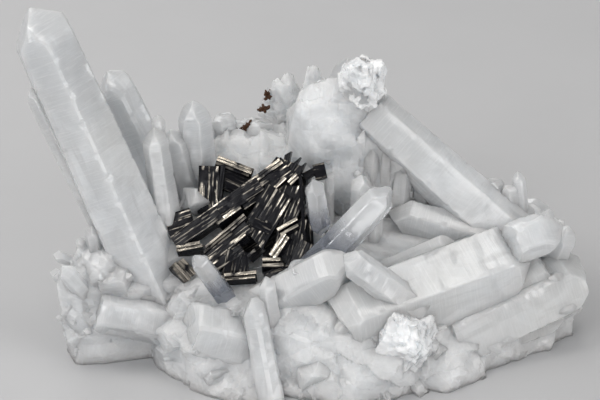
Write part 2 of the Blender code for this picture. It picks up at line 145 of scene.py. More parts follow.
QUARTZ = [
    # the left group
    Point("tall_point", (-26.8, -9, 6), (-52.1, 2, 70), 11.8, 22),
    Point("left_sliver", (-36, -8, 18), (-52.8, -2, 54.5), 3.2, 10),
    Point("second_point", (-25.4, 8, 20), (-39.4, 13, 51.2), 7.6, 20),
    Point("slim_point", (-27.5, -2, 20), (-28.4, 4, 45.5), 2.6),
    Point("leaning_point", (-26.5, -4, 22), (-29.3, 1, 44), 5),
    Point("back_left_point", (-20.5, 8, 22), (-21.8, 12, 44.8), 6.2, 22),
    Point("back_left_stub", (-22, 6, 24), (-26.3, 9, 39.5), 4.6),
    Point("left_spike", (-40.5, -8, 14), (-41.5, -10, 28), 3.2),
    Point("corner_point", (-41, -13, 10), (-46.8, -18, 23.5), 3.4, 0),
    Point("left_block_point", (-35, -12, 4), (-38.1, -14, 23), 8, 30, 0.8, 0.6),
    Point("lying_left_point", (-22, -15, 7), (-44, -18, 13.5), 8, 0, 1.0, 0.7),
    Point("lying_upper_point", (-14, -11, 9), (-37, -13, 15), 5.5, 30),
    Point("barrel_point", (-3, -20, 5.5), (-27, -24, 14.5), 11, 40, 1.0, 0.75),
    # the front
    Point("front_slim_point", (-4, -25, 4), (-6.7, -20, 22.5), 3.5, 0),
    Point("front_long_point", (-5, -31, -4), (-9.4, -23, 20), 4.8, 10),
    Point("rim_point", (-12, -16, 9), (11, -17, 24.5), 9.5, 30),
    Point("crossing_point", (23.5, -20, 14.5), (8, -22, 28.8), 5.4, 0, 1.0, 0.35),
    Point("end_on_point", (24, -18, 7), (29.5, -27, 4), 6.5, 0, 1.0, 0.8),
    Point("front_stub", (2, -22, 4), (5, -34, 3), 9, 0, 1.0, 0.7),
    Point("front_stub_high", (8, -20, 10), (12, -29, 13), 8, 10, 1.0, 0.7),
    Point("front_stub_low", (12, -20, 3), (16, -33, 1), 8, 20, 1.0, 0.7),
    Point("front_bottom_point", (-16, -20, 3), (-15, -31, 2), 8, 20, 1.0, 0.7),
    # the right
    Point("big_lying_point", (48, -4, 18), (3, -24.4, 12.1), 14, 30, 1.0, 0.6, True),
    Point("right_barrel_point", (53, -5, 25.2), (38, -10.5, 22), 8, 10, 1.0, 0.8, True),
    Point("ledge_point", (14, -12, 17), (31, -8, 23.5), 4.2, 30),
    Point("right_low_point", (30, -16, 5), (61.4, -3, 13.4), 13.4, 20, 0.9, 0.4),
    Point("right_under_point", (27, -18, 3), (55, -8, 8), 9, 30, 0.8, 0.5),
    Point("right_middle_point", (34, -12, 8), (55, -3, 17), 12, 30, 1.0, 0.6),
    Point("inner_right_point", (43, -5, 20), (18, 1, 24.5), 7.5, 30, 0.8),
    Point("right_knob_point", (36, -8, 14), (47, -3, 23.5), 7.5, 10, 1.0, 0.6),
    Point("striped_point", (44.5, 0, 20), (42, 2, 31.6), 3.4, 0, 0.7, 0.5),
    Point("right_spire", (46, 0, 18), (44.2, 3, 33.2), 2.8, 20),
    Point("right_stub", (47, -1, 16), (46.4, 2, 26), 3, 0),
    Point("right_stub_low", (48.6, -2, 15), (48.6, 0.5, 24.8), 3, 20),
    Point("right_finger", (49, -2, 16), (50.7, 0, 26.2), 2.6, 10),
    Point("right_corner_point", (50.2, -4, 12), (54.6, -3, 23.8), 5.2, 0),
    # the back
    Point("leaning_back_point", (45.5, -3, 18), (9.4, 12, 46.4), 10, 45, 0.85, 0.8),
    Point("back_wall_left", (5, 8, 14), (6, 15, 50), 8.2, 20, 1.0, 0.4),
    Point("back_wall_peak", (11.6, 7, 14), (10, 14, 54), 10.4, 12, 0.9, 0.1),
    Point("back_wall_edge", (0, 9, 18), (0.5, 14, 44), 6.5, 10),
    Point("nook_left", (14.5, 3, 18), (14.8, 7, 39), 3.4, 0),
    Point("nook_middle", (17, 3, 18), (17.8, 6, 38), 3, 20),
    Point("nook_right", (20, 3, 18), (21.5, 5, 36), 4, 10),
    Point("nook_far", (24, 4, 16), (25.5, 6, 32), 4.4, 20),
    Point("bright_point", (12.6, -3, 18), (12.3, 0, 34), 4.2, 50),
    Point("bright_point_side", (14.5, -3, 18), (15, -1, 32), 3.6, 10),
    Point("left_floor_point", (-13, 4, 25), (-25.5, 0, 28), 6, 30, 1.0, 0.5),
    Point("ridge_shard", (-14, 16, 20), (-16.5, 21, 38.5), 5, 0, 1.0, 0.5),
    Point("ridge_shard_low", (-8, 16, 20), (-9, 21, 38), 6, 20, 1.0, 0.6),
    Point("ridge_shard_left", (-19, 15, 20), (-20, 20, 36.6), 5, 10, 1.0, 0.6),
    Point("upper_stub_left", (37, 3, 24), (36.8, 5, 31.8), 3.6, 0, 1.0, 0.4),
    Point("upper_stub_right", (40, 1, 22), (39.3, 4, 32), 4, 20, 1.0, 0.4),
]

CLEAR = [
    Point("clear_point_front", (-14.5, -17.5, 15.5), (-20.5, -19.5, 27), 3.6, 10),
    Point("clear_point_long", (2.6, -13.5, 19.5), (17.9, -10, 36.6), 5.6, 20),
    Point("clear_point_oval", (4.2, -9.5, 25.5), (2.6, -9, 38), 4, 10, 1.0, 0.0, True),
    Point("clear_point_block", (0.5, -15.5, 16), (-0.5, -16.5, 24.6), 4.6, 30, 1.0, 0.6),
]

MAIN_BLADES = [
    Blade(-1.5, -3.3, -5.5, 25, 13, 8, 34, 8),
    Blade(7.9, -1, -5, 18, 7.6, 8, 86, 4),
    # the flight of ledges, from the ridge down
    Blade(-3.4, 3.2, -1.6, 28.4, 1.4, 3.4, 36, 30),
    Blade(-5.2, 0.6, -1.2, 20, 3, 4, 35, 12),
    Blade(3.6, 6.3, -1.8, 12, 4.4, 4, 36, 10),
    Blade(2.1, 5.2, -1.2, 5, 0.7, 3, 34, 28),
    Blade(-3.3, 0, -0.5, 5.8, 1, 4, 35, 28),
    Blade(-9.6, -2.6, -0.8, 11, 2.6, 4, 35, 16),
    Blade(-4.1, -3.6, 0.2, 11.4, 1.2, 4, 40, 30),
    Blade(-11, -6.2, -0.4, 5.6, 1.4, 4, 12, 24),
    Blade(-3.6, -5.6, 0, 11, 2.6, 4, 38, 14),
    Blade(-1, -4.6, 0.9, 3.4, 0.8, 3, 41, 28),
    Blade(1.3, -7.6, 1, 2.2, 0.7, 3, 40, 28),
    Blade(-4.6, -8.6, 0.2, 9, 3.4, 4, 34, 12),
    Blade(-1.6, -9.8, 0.3, 5.4, 5, 4, 78, 0),
    Blade(-12.2, -11, -0.6, 4.6, 3.2, 4, -48, 20),
    Blade(-13.2, -1.4, -3.2, 5.4, 4.4, 5, 18, 14),
    # the shards of the right-hand end
    Blade(4, -0.3, -0.8, 12, 5.8, 5, 60, 4, 0, 2),
    Blade(3.4, -2.2, -0.2, 3.8, 2, 3, -25, 8),
    Blade(9.2, 2.6, -1.4, 9, 4.8, 4, 68, 4, 2),
    Blade(6.4, 7.6, -2.6, 10, 5.4, 4, 50, 6, 2),
    Blade(8.8, -5, -1, 9.4, 5.4, 4, 78, 4, 1),
    Blade(6.8, -6.2, 0.7, 6, 1.8, 3, 57, 24),
    Blade(8.3, -1.9, 0, 5, 0.8, 3, 30, 28),
    Blade(8.9, -2.9, 0.3, 4.4, 0.7, 3, 30, 28),
    Blade(-0.9, -12, 1.4, 6.8, 1.6, 4, 5, 34),
    Blade(5.2, -8.8, 0.8, 4, 0.8, 3, 2, 30),
    Blade(5.6, -9.9, 1.1, 4.6, 0.8, 3, 2, 30),
    Blade(6.8, -11.6, 0.8, 6, 2.6, 4, 20, 18),
    Blade(10.6, -8.4, -0.6, 7, 3.2, 4, 64, 10),
    Blade(11.6, -0.4, -0.8, 16.6, 0.7, 5, 94, 0),
    Blade(12.8, -3.2, -2.8, 8.6, 1.8, 4, 92, -10, 3),
    Blade(8.3, 10.9, -3, 4, 1.2, 2.5, 80, 6, 1),
    Blade(9.6, 9.8, -2.4, 4.6, 1, 2.5, 62, 6, 2.4),
    Blade(11, 9.2, -2.2, 3.4, 1.1, 2.5, 66, 6, 2),
    Blade(6.1, 5.6, -1.2, 6.4, 0.8, 3, 44, 26),
    Blade(9.7, 7.2, -0.8, 2.6, 1.2, 3, 46, 26),
]

BACK_BLADES = [
    Blade(-7.6, 5, -7, 9.8, 4.2, 5, 88, 6),
    Blade(-2.2, 9.8, -7.2, 8, 2, 4, -21, 24),
    Blade(-3.2, 7, -7.8, 8, 4.4, 5, -24, 10),
    Blade(-5, 6.6, -6.7, 7, 1, 3, 84, 4),
]

SPUR_BLADES = [
    Blade(13.4, 8.6, -3.6, 4, 1.4, 2, 28, 10),
    Blade(15, 8.8, -3.4, 2.4, 3.2, 2, 12, 10),
]

NUB_BLADES = [Blade(15.4, -1.6, -2.4, 3.8, 1.5, 2.5, -30, 20)]

SPECKS = [
    Lump("speck_dart", (-13.2, 18.4, 34), (1.1, 0.8, 0.6), 8),
    Lump("speck_star", (-11, 18.4, 34.8), (0.8, 0.8, 1.1), 8),
    Lump("speck_cap_low", (-7.6, 24.2, 36.4), (1.2, 1, 1), 9),
    Lump("speck_cap_high", (-6.8, 25.4, 39), (0.8, 0.8, 1.5), 9),
]

SPHALERITE = {
    "sphalerite_main": MAIN_BLADES,
    "sphalerite_back": BACK_BLADES,
    "sphalerite_spur": SPUR_BLADES,
    "sphalerite_nub": NUB_BLADES,
}

# how many small points grow on each lump
DRUSE = {
    "left_block": 10,
    "left_wall": 7,
    "right_block": 22,
    "right_wall": 22,
    "back_wall": 26,
    "back_ridge": 30,
    "back_bed": 26,
    "left_knob": 8,
    "floor_step": 20,
    "inner_floor": 14,
}

# crushed quartz, full of small bright breaks
SPARKLING_BLOCK = Lump("sparkling_block", (20.5, -21.5, 8.5), (7.5, 8, 8), 18)
SPARKLING_PEAK = Lump("sparkling_peak", (12.5, 9.5, 49), (5.2, 4.5, 6.5), 18)

# what fills out the wall behind the hollow, up to the points that stand half in it
WALLS = [
    Lump("wall_face", (6, 10, 40), (8, 4.5, 13), 20),
    Lump("nook_wall", (21, 5.8, 30), (9.5, 3, 9.5), 20),
    Lump("ridge_top", (-9.5, 22.5, 28), (10.5, 5, 7.8), 20),
]
# lumps with the points' own finish, lumps with a snowy one, and lumps that the bed and the wall cover
GLASSY = ("left_knob", "left_bump")
FROSTED = ("snow_cap", "snow_cap_small", "floor_step")
BURIED_LUMPS = (
    "core",
    "front_left_block",
    "front_block",
    "front_middle_block",
    "front_right_block",
    "front_corner_block",
    "right_block",
    "back_wall",
    "back_ridge",
)
# lumps of the standing wall behind the hollow; the other lumps whose middles are below this height make
# the bed
WALL_LUMPS = ("back_wall", "back_ridge")
BED_TOP = 21

# points whose edges are worn wider, and how many times
SOFT_EDGED = {
    "tall_point": 2,
    "second_point": 3,
    "lying_left_point": 2,
    "barrel_point": 3,
    "rim_point": 2.5,
    "front_long_point": 3,
    "right_barrel_point": 3,
}

# the axes of the bed and of the wall, from a place and over a length, and how wide a valley is filled,
# in steps
BED_START, BED_LENGTH = (6, 0, 0), 34.0
WALL_START, WALL_LENGTH = (-37, 15, 16), 77.0
FILLED_SPAN = 14

# reliefs as (wavelength, height) of each wave: rough rock, the broad masses, snow, worn chips and
# crushed quartz
ROCK = ((17.0, 0.6), (12.0, 0.4), (5.3, 0.2), (2.9, 0.09), (1.9, 0.05), (1.1, 0.03))
FACETED = ((23.0, 0.7), (11.0, 0.4), (5.3, 0.2), (2.7, 0.07), (1.3, 0.03))
SNOW = ((6.0, 0.55), (4.1, 0.45), (2.6, 0.3), (1.7, 0.2), (1.1, 0.12), (0.8, 0.06))
CHIPS = ((4.3, 0.5), (2.3, 0.5), (1.3, 0.3))
CRUSHED = ((6.0, 0.5), (3.1, 0.35), (2.1, 0.25), (1.6, 0.2), (1.1, 0.12))

# a quartz point's faces: growth lines, broad swells, fine swells, and the rough of a broken end
GROWTH_STEPS = ((0.62, 0.5), (1.3, 0.9), (3.1, 1.6), (6.5, 2.4))
BROAD_SWELLS = ((5.0, 0.03), (9.0, 0.05), (17.0, 0.07))
FINE_SWELLS = ((1.7, 0.012), (2.9, 0.016))
BREAK_SWELLS = ((4.3, 0.16), (2.3, 0.1), (1.1, 0.05))

# a sphalerite layer's faces: gentle swells, and grooves along it
BLADE_SWELLS = ((3.0, 0.015), (7.0, 0.03))
GROOVE_STEPS = ((0.27, 0.4), (0.6, 0.8))

# broken faces as size, slope and step in height: on rock, on crushed or snowy quartz, and on the broad
# masses
ROCK_FACES = (5.0, 0.24, 0.5)
FINE_FACES = (2.3, 0.4, 0.5)
MASS_FACES = (8.0, 0.2, 0.7)
SMALL_MASS_FACES = (3.7, 0.16, 0.2)

# closer rings near a point's ends, as shares of its width; what passes a broken end is pressed this flat
NEAR_END = np.array([0.02, 0.05, 0.1, 0.18])
PRESSED = 0.02

# map values for each millimetre of skin
MAP_SCALE = 0.1

# on the bed, edges bent further than this many degrees stay sharp
BED_CREASE = 12

# a lump: how sharp the creases between its flat faces are, and the most columns round it
CREASE_POWER = 260
MOST_COLUMNS = 190

# blades rolled further than this, in degrees, are ledges; the others are broad faces that carry ledges
LEDGE_ROLL = 20

# a growth ledge over one period: where it has risen, and where it has sloped back in
LEDGE_RISE = 0.08
LEDGE_END = 0.96


def lies_in_front(point):
    """Whether a point's middle is lower than the top of the bed and more than 5 mm in front."""
    return point.foot[2] + point.tip[2] < 2 * BED_TOP and point.foot[1] + point.tip[1] < -10


# ---------------------------------------------------------------- settings


class QuartzSettings(bpy.types.PropertyGroup):
    """Colours and fine sizes of the quartz"""

    milk: bpy.props.FloatVectorProperty(
        name="Milk",
        description="Colour of the milky body of the points",
        subtype="COLOR",
        size=3,
        min=0,
        max=1,
        default=(0.915, 0.935, 0.955),
    )
    veil: bpy.props.FloatVectorProperty(
        name="Veil",
        description="Colour of the clearer, greyer bands inside the points",
        subtype="COLOR",
        size=3,
        min=0,
        max=1,
        default=(0.62, 0.63, 0.64),
    )
    edge: bpy.props.FloatProperty(
        name="Edge",
        description="Width of the worn strip along each edge, in millimetres",
        default=0.18,
        min=0.02,
    )
    growth: bpy.props.FloatProperty(
        name="Growth lines",
        description="Depth of the lines across the side faces, in millimetres",
        default=0.02,
        min=0,
    )
    clarity: bpy.props.FloatProperty(
        name="Clarity",
        description="How much light passes straight through the milky points",
        subtype="FACTOR",
        default=0.35,
        min=0,
        max=1,
    )


class SphaleriteSettings(bpy.types.PropertyGroup):
    """Colours and layers of the sphalerite"""

    body: bpy.props.FloatVectorProperty(
        name="Body",
        description="Colour of the black crystals",
        subtype="COLOR",
        size=3,
        min=0,
        max=1,
        default=(0.006, 0.006, 0.008),
    )
    # the colour of the painted bronze sheen on the ledge faces that catch the light
    sheen: bpy.props.FloatVectorProperty(
        name="Sheen",
        description="Colour of the bronze ledges",
        subtype="COLOR",
        size=3,
        min=0,
        max=1,
        default=(0.66, 0.60, 0.51),
    )
    lamella: bpy.props.FloatProperty(
        name="Lamella",
        description="Thickness of one growth layer, in millimetres",
        default=0.75,
        min=0.2,
    )
    groove: bpy.props.FloatProperty(
        name="Groove",
        description="Depth of the grooves along a ledge, in millimetres",
        default=0.05,
        min=0,
    )


class StageSettings(bpy.types.PropertyGroup):
    """The floor and the camera"""

    floor: bpy.props.FloatVectorProperty(
        name="Floor",
        description="Colour of the floor",
        subtype="COLOR",
        size=3,
        min=0,
        max=1,
        default=(0.42, 0.42, 0.425),
    )
    elevation: bpy.props.FloatProperty(
        name="Elevation",
        description="Height of the camera above level",
        subtype="ANGLE",
        default=math.radians(30),
    )
    distance: bpy.props.FloatProperty(
        name="Distance",
        description="From the camera to the point that it looks at",
        subtype="DISTANCE",
        unit="LENGTH",
        default=0.4,
    )


# ---------------------------------------------------------------- shapes worked out as arrays


class Patch(NamedTuple):
    """A closed skin: its points, four-sided and three-sided faces, and each point's map values and tone."""

    points: np.ndarray
    quads: np.ndarray
    fans: np.ndarray
    flat: np.ndarray
    tone: np.ndarray


def eased_lesser(a, b, ease):
    """The lesser of two distances; where they come within a small ease of each other, a blend of both."""
    share = np.clip(0.5 + 0.5 * (b - a) / ease, 0, 1)
    return b * (1 - share) + a * share - ease * share * (1 - share)


def swell(a, b, waves, chance):
    """A gentle rise and fall over two coordinates: a sum of sine waves, each with its own heading.

    waves holds a (wavelength, height) for each.
    """
    total = np.zeros(np.broadcast(a, b).shape)
    for wavelength, height in waves:
        heading = chance.uniform(0, 2 * math.pi)
        phase = chance.uniform(0, 2 * math.pi)
        turn = 2 * math.pi / wavelength
        total = total + height * np.sin(turn * (a * math.cos(heading) + b * math.sin(heading)) + phase)
    return total


def steps(along, across, waves, chance):
    """Low terraces along one coordinate: each layer rises slowly and drops back at once, like a saw's teeth.

    The drops wander a little with the other coordinate.
    """
    total = np.zeros(np.broadcast(along, across).shape)
    for wavelength, height in waves:
        wander = 0.22 * np.sin(across * chance.uniform(0.5, 1.6) + chance.uniform(0, 6))
        place = along / wavelength + wander + chance.uniform(0, 1)
        tooth = place - np.floor(place)
        total = total + height * np.minimum(tooth, (1 - tooth) * 4)
    return total


def closed_patch(rings, flat, tone):
    """A skin over closed rings of points, shut by one point at the middle of each end ring.

    rings and tone are (rows, columns, 3), and flat is (rows, columns, 2). The last column joins the
    first.
    """
    rows, columns = rings.shape[:2]
    points = np.concatenate([rings.reshape(-1, 3), rings[:1].mean(1), rings[-1:].mean(1)])
    index = np.arange(rows * columns).reshape(rows, columns)
    after = np.roll(index, -1, axis=1)
    quads = np.stack([index[:-1], after[:-1], after[1:], index[1:]], axis=-1).reshape(-1, 4)
    foot, tip = rows * columns, rows * columns + 1
    low_fan = np.stack([after[0], index[0], np.full(columns, foot)], axis=-1)
    high_fan = np.stack([index[-1], after[-1], np.full(columns, tip)], axis=-1)
    flat = np.concatenate([flat.reshape(-1, 2), flat[:1].mean(1), flat[-1:].mean(1)])
    tone = np.concatenate([tone.reshape(-1, 3), tone[:1].mean(1), tone[-1:].mean(1)])
    return Patch(points, quads, np.concatenate([low_fan, high_fan]), flat, tone)


def joined(patches):
    """Several skins as one, with their faces renumbered."""
    starts = np.cumsum([0] + [len(p.points) for p in patches[:-1]])
    return Patch(
        np.concatenate([p.points for p in patches]),
        np.concatenate([p.quads + s for p, s in zip(patches, starts)]),
        np.concatenate([p.fans + s for p, s in zip(patches, starts)]),
        np.concatenate([p.flat for p in patches]),
        np.concatenate([p.tone for p in patches]),
    )


def unit(vector):
    """A vector's direction, as a vector one long."""
    return np.asarray(vector) / np.linalg.norm(vector)


def crystal_frame(foot, tip):
    """Two directions square to a crystal's length, and the length's own direction."""
    along = unit(tip - foot)
    reference = AWAY if abs(along[1]) < 0.95 else UP
    right = unit(np.cross(reference, along))
    return right, np.cross(along, right), along


class Cap(NamedTuple):
    """A crystal's end: where each sloping face crosses the middle line, and the broken face if any."""

    heights: np.ndarray
    broken: tuple


def read_cap(point, end_height, chance):
    """The cap at one end of a point, with each face a little off the height where all six would meet."""
    heights = np.zeros(6)
    for side in range(6):
        lag = chance.uniform(-0.06, 0.06) if side % 2 else chance.uniform(0.08, 0.34)
        heights[side] = end_height + lag * point.width
    if not point.blunt:
        return Cap(heights, ())
    cap_height = point.width / 2 / math.tan(CAP_SLOPE)
    lean = (chance.uniform(-0.35, 0.35), chance.uniform(-0.35, 0.1))
    return Cap(heights, (lean, end_height - point.blunt * cap_height))


def section_reach(heights, reach, shoulder, cap, low_cap, ease):
    """How far each of six sides is from the middle line at each height.

    It is the lesser of its upright face and its cap face, and never past where its neighbours meet.
    """
    upright = reach + (shoulder - heights[:, None]) * math.tan(TAPER)
    sloping = (cap.heights - heights[:, None]) * math.tan(CAP_SLOPE)
    reach_at = eased_lesser(upright, sloping, ease)
    if low_cap:
        rising = (heights[:, None] + low_cap.heights) * math.tan(CAP_SLOPE)
        reach_at = eased_lesser(reach_at, rising, ease)
    return np.minimum(reach_at, np.roll(reach_at, 1, axis=1) + np.roll(reach_at, -1, axis=1))


def ring_heights(point, edge, pitch, top, bottom, breaks, low_breaks):
    """Heights of a point's rings: even ones, with closer ones at its shoulders and its ends.

    breaks and low_breaks are the heights where the upright faces end.
    """
    rows = max(6, round((top - bottom) / pitch))
    even = np.linspace(bottom, top, rows + 2)[1:-1]
    near_tip = top - point.width * NEAR_END
    heights = np.concatenate([even, breaks - edge, breaks, breaks + edge, near_tip, [bottom + 0.01]])
    if len(low_breaks):
        heights = np.concatenate([heights, low_breaks, bottom + point.width * NEAR_END])
    heights = np.sort(np.clip(heights, bottom + 0.005, top - 0.01))
    return heights[np.diff(heights, prepend=-1e3) > edge * 0.45]


def columns_across(centred, spread, edge):
    """Where the columns stand along each side, its full width, and its width between the two worn strips."""
    half = math.sin(SIXTH)
    before = -(np.roll(centred, 1, axis=1) - centred / 2) / half
    beyond = (np.roll(centred, -1, axis=1) - centred / 2) / half
    wide = np.maximum(beyond - before, 0)
    strip = np.minimum(edge, wide * 0.25)
    level = wide - 2 * strip
    return before[..., None] + strip[..., None] + level[..., None] * spread, wide, level


def face_relief(place, heights, breaks, wide, spread, edge, growth, detail):
    """Growth lines and gentle swells on the six sides.

    The lines end where the cap begins, and both fade out at the corners.
    """
    tall = np.broadcast_to(heights[:, None], place[:, 0].shape)
    inner = np.clip(np.minimum(spread, 1 - spread) * 12, 0, 1)
    relief = np.zeros(place.shape)
    for side in range(6):
        across = place[:, side]
        upright = np.clip((breaks[side] - tall) / (2 * edge), 0, 1)
        lines = steps(tall, across, GROWTH_STEPS, detail) * growth
        rise = swell(across, tall, BROAD_SWELLS, detail)
        fine = swell(across, tall, FINE_SWELLS, detail)
        limit = np.clip(wide[:, side, None] / 3, 0, 1)
        relief[:, side] = (upright * (rise - lines) + fine) * inner * limit
    return relief


def broken_off(tall, section, broken, detail):
    """Heights pressed down on to a rough slanting face, where a point's end is broken off."""
    (lean_right, lean_back), stop = broken
    ceiling = stop - lean_right * section[..., 0] - lean_back * section[..., 1]
    cut = ceiling + swell(section[..., 0], section[..., 1], BREAK_SWELLS, detail) - 0.2
    return np.where(tall > cut, cut + (tall - cut) * PRESSED, tall)


def chipped(rings, section, near_edge, width, right, back):
    """Rings with small flat chips taken out of the crystal's edges, towards its middle line."""
    nick = np.clip(crags(rings, CHIPS, "chips") - 0.15, 0, 1) * near_edge * min(0.4, 0.05 * width)
    inward = section / np.maximum(np.linalg.norm(section, axis=-1, keepdims=True), 0.5)
    return rings - nick[..., None] * (inward[..., :1] * right + inward[..., 1:] * back)


def quartz_point_patch(point, edge, growth, pitch=0.45, column=0.8):
    """The skin of a quartz point.

    At each height the section is a six-sided polygon. Its sides are as far from the middle line as the
    upright faces and the cap faces say, its corners are cut back by a narrow worn strip, and each side
    carries growth lines and a gentle swell. A broken end is pressed down along the crystal's length on
    to a rough slanting face.
    """
    chance = random.Random(point.name)
    detail = random.Random(point.name + " skin")
    foot, tip = np.array(point.foot, float), np.array(point.tip, float)
    right, back, along = crystal_frame(foot, tip)
    length = np.linalg.norm(tip - foot)
    radius, slope = point.width / 2, math.tan(CAP_SLOPE)
    angles = math.radians(point.turn) + SIXTH * np.arange(6)
    outward = np.stack([np.cos(angles), np.sin(angles)], axis=-1)
    tangent = np.stack([-np.sin(angles), np.cos(angles)], axis=-1)
    flattened = [1 + (point.thin - 1) * math.sin(angle) ** 2 for angle in angles]
    reach = np.array([radius * share * chance.uniform(0.9, 1.06) for share in flattened])
    shoulder = length - radius / slope
    cap = read_cap(point, length, chance)
    low_cap = read_cap(point, 0.0, chance) if point.double else None

    top = cap.heights[1::2].mean()
    bottom = -(low_cap.heights[1::2].mean()) if low_cap else 0.0
    breaks = (cap.heights * slope - reach - shoulder * math.tan(TAPER)) / (slope - math.tan(TAPER))
    low_breaks = -low_cap.heights + reach / slope if low_cap else ()
    heights = ring_heights(point, edge, pitch, top, bottom, breaks, low_breaks)

    # above the shoulders the section's middle moves off the line, towards the place where the cap faces
    # meet
    lag = (cap.heights - top)[1::2] * slope
    apex = (2 / 3) * (lag[:, None] * outward[1::2]).sum(0)
    middle = np.clip((heights - shoulder) / (top - shoulder), 0, 1)[:, None] * apex
    reach_at = section_reach(heights, reach, shoulder, cap, low_cap, edge * 1.6)
    centred = np.maximum(reach_at - middle @ outward.T, 0.0)

    columns = max(1, min(16, round(radius / column)))
    spread = np.concatenate([[0], np.linspace(0, 1, columns + 2)[1:-1], [1]])
    place, wide, level = columns_across(centred, spread, edge)
    distance = centred[..., None] + face_relief(place, heights, breaks, wide, spread, edge, growth, detail)
    section = distance[..., None] * outward[None, :, None] + place[..., None] * tangent[None, :, None]
    section = section.reshape(len(heights), -1, 2) + middle[:, None]
    tall = np.broadcast_to(heights[:, None], section.shape[:2]).copy()
    if cap.broken:
        tall = broken_off(tall, section, cap.broken, detail)

    # how near each place is to a side's worn strip: it places the chips, and in the tone's blue it paints a
    # white highlight along the edges
    inset = np.minimum(spread, 1 - spread) * level[..., None]
    worn = np.exp(-inset / 0.3).reshape(tall.shape)
    shoulders = np.exp(-np.abs(heights[:, None] - breaks) / 0.4)
    near_edge = np.maximum(worn, np.repeat(shoulders, len(spread), axis=1))
    rings = foot + section[..., :1] * right + section[..., 1:] * back + tall[..., None] * along
    rings = chipped(rings, section, near_edge, point.width, right, back)
    if abs(along[2]) > 0.5:
        # a steep point's foot ends on the floor, cut along its own length
        rings = rings + np.maximum(-rings[..., 2:], 0) / along[2] * along

    girth = np.cumsum(np.linalg.norm(np.diff(rings, axis=1, prepend=rings[:, :1]), axis=-1), axis=1)
    girth = np.broadcast_to(girth[len(heights) // 3], girth.shape)
    climb = np.broadcast_to(heights[:, None], girth.shape)
    flat = np.stack([girth, climb], axis=-1) * MAP_SCALE
    shade = np.full(girth.shape, detail.uniform(0, 1))
    # the tone: a random tint, the climb towards the tip, and the painted white highlight along the edges
    tone = np.stack([shade, np.clip(climb / length, 0, 1), worn], axis=-1)
    return closed_patch(rings, flat, tone)


def lump_facets(lump):
    """Flat faces spread evenly round a lump: outward directions and distances from its middle."""
    chance = random.Random(lump.name)
    golden = math.pi * (3 - math.sqrt(5))
    normals, reaches = [], []
    for i in range(lump.faces):
        height = 1 - 2 * (i + 0.5) / lump.faces
        ring = math.sqrt(1 - height * height)
        angle = golden * i + chance.uniform(-0.35, 0.35)
        normal = unit((ring * math.cos(angle), ring * math.sin(angle), height + chance.uniform(-0.12, 0.12)))
        reach = np.linalg.norm(np.array(lump.radii) * normal)
        normals.append(normal)
        reaches.append(reach * chance.uniform(0.82, 1.0))
    return np.array(normals), np.array(reaches)


def crags(place, waves, name):
    """A broken relief of flat facets: a sum of triangle waves, each with its own heading through space.

    Between two creases every wave is a slope, so their sum is a slope too. The place is bent a little
    first, so that the creases aren't straight. waves holds a (wavelength, height) for each.
    """
    drawn = np.random.default_rng(sum(map(ord, name)))
    bent = place + 0.35 * np.sin(place[..., [1, 2, 0]] * 0.9 + drawn.uniform(0, 6, 3))
    total = np.zeros(place.shape[:-1])
    for wavelength, height in waves:
        heading = drawn.normal(size=3)
        phase = bent @ (heading / np.linalg.norm(heading)) / wavelength + drawn.uniform()
        total += height * (2 * np.abs(2 * (phase - np.floor(phase)) - 1) - 1)
    return total


def drawn_in(cells, count):
    """Numbers from 0 to 1 for each cell of a grid, the same each time: the loose digits of a large sine."""
    seeds = np.array(
        [
            [12.99, 78.23, 37.72],
            [39.35, 11.14, 83.16],
            [73.16, 52.23, 9.15],
            [26.65, 94.67, 60.1],
        ]
    )
    seeds = np.concatenate([seeds, seeds[:, ::-1] * 1.37])[:count]
    return np.modf(np.abs(np.sin(cells @ seeds.T) * 43758.5453))[0]


def broken_faces(place, size, slope, step):
    """A relief of flat broken faces, each with its own tilt and height, round one of many scattered middles.

    Every place belongs to the nearest middle. There is one middle somewhere in each cell of a grid, so
    only the cells beside a place are asked.
    """
    cell = np.floor(place / size)
    nearest = np.full(place.shape[:-1], np.inf)
    relief = np.zeros(place.shape[:-1])
    for beside in np.ndindex(3, 3, 3):
        draws = drawn_in(cell + np.array(beside) - 1, 7)
        middle = (cell + np.array(beside) - 1 + draws[..., :3]) * size
        away = place - middle
        distance = (away**2).sum(-1)
        face = ((draws[..., 3:6] - 0.5) * 2 * slope * away).sum(-1) + step * (draws[..., 6] - 0.5)
        relief = np.where(distance < nearest, face, relief)
        nearest = np.minimum(distance, nearest)
    return relief


def lump_patch(lump, pitch=0.5, relief=1.0, waves=ROCK, frost=0):
    """The skin of a lump of massive quartz.

    In each direction it is as far out as the nearest of its flat faces, and a broken relief of flat
    facets stands on that, some of it in and some out. frost says how snowy it is, from 0 to 1.
    """
    normals, reaches = lump_facets(lump)
    chance = random.Random(lump.name + " skin")
    size = max(lump.radii)
    lon = max(24, min(MOST_COLUMNS, round(2 * math.pi * size / pitch)))
    lat = max(12, lon // 2)
    turn = np.arange(lon) / lon * 2 * math.pi
    rise = (np.arange(lat) + 0.5) / lat * math.pi - math.pi / 2
    turn, rise = np.meshgrid(turn, rise)
    heading = np.stack([np.cos(rise) * np.cos(turn), np.cos(rise) * np.sin(turn), np.sin(rise)], axis=-1)
    share = np.maximum(heading @ normals.T, 0) / reaches
    peak = share.max(-1, keepdims=True)
    reach = 1 / (peak[..., 0] * ((share / peak) ** CREASE_POWER).sum(-1) ** (1 / CREASE_POWER))
    place = np.array(lump.middle) + heading * reach[..., None]
    broken = broken_faces(place, *(ROCK_FACES if waves is ROCK else FINE_FACES))
    rings = place + heading * (relief * (crags(place, waves, "rock") + broken - 0.25))[..., None]
    flat = np.stack([turn * size, rise * size], axis=-1) * MAP_SCALE
    tone = np.empty((lat, lon, 3))
    tone[...] = (chance.uniform(0, 1), 0.3, frost)
    return closed_patch(rings, flat, tone)


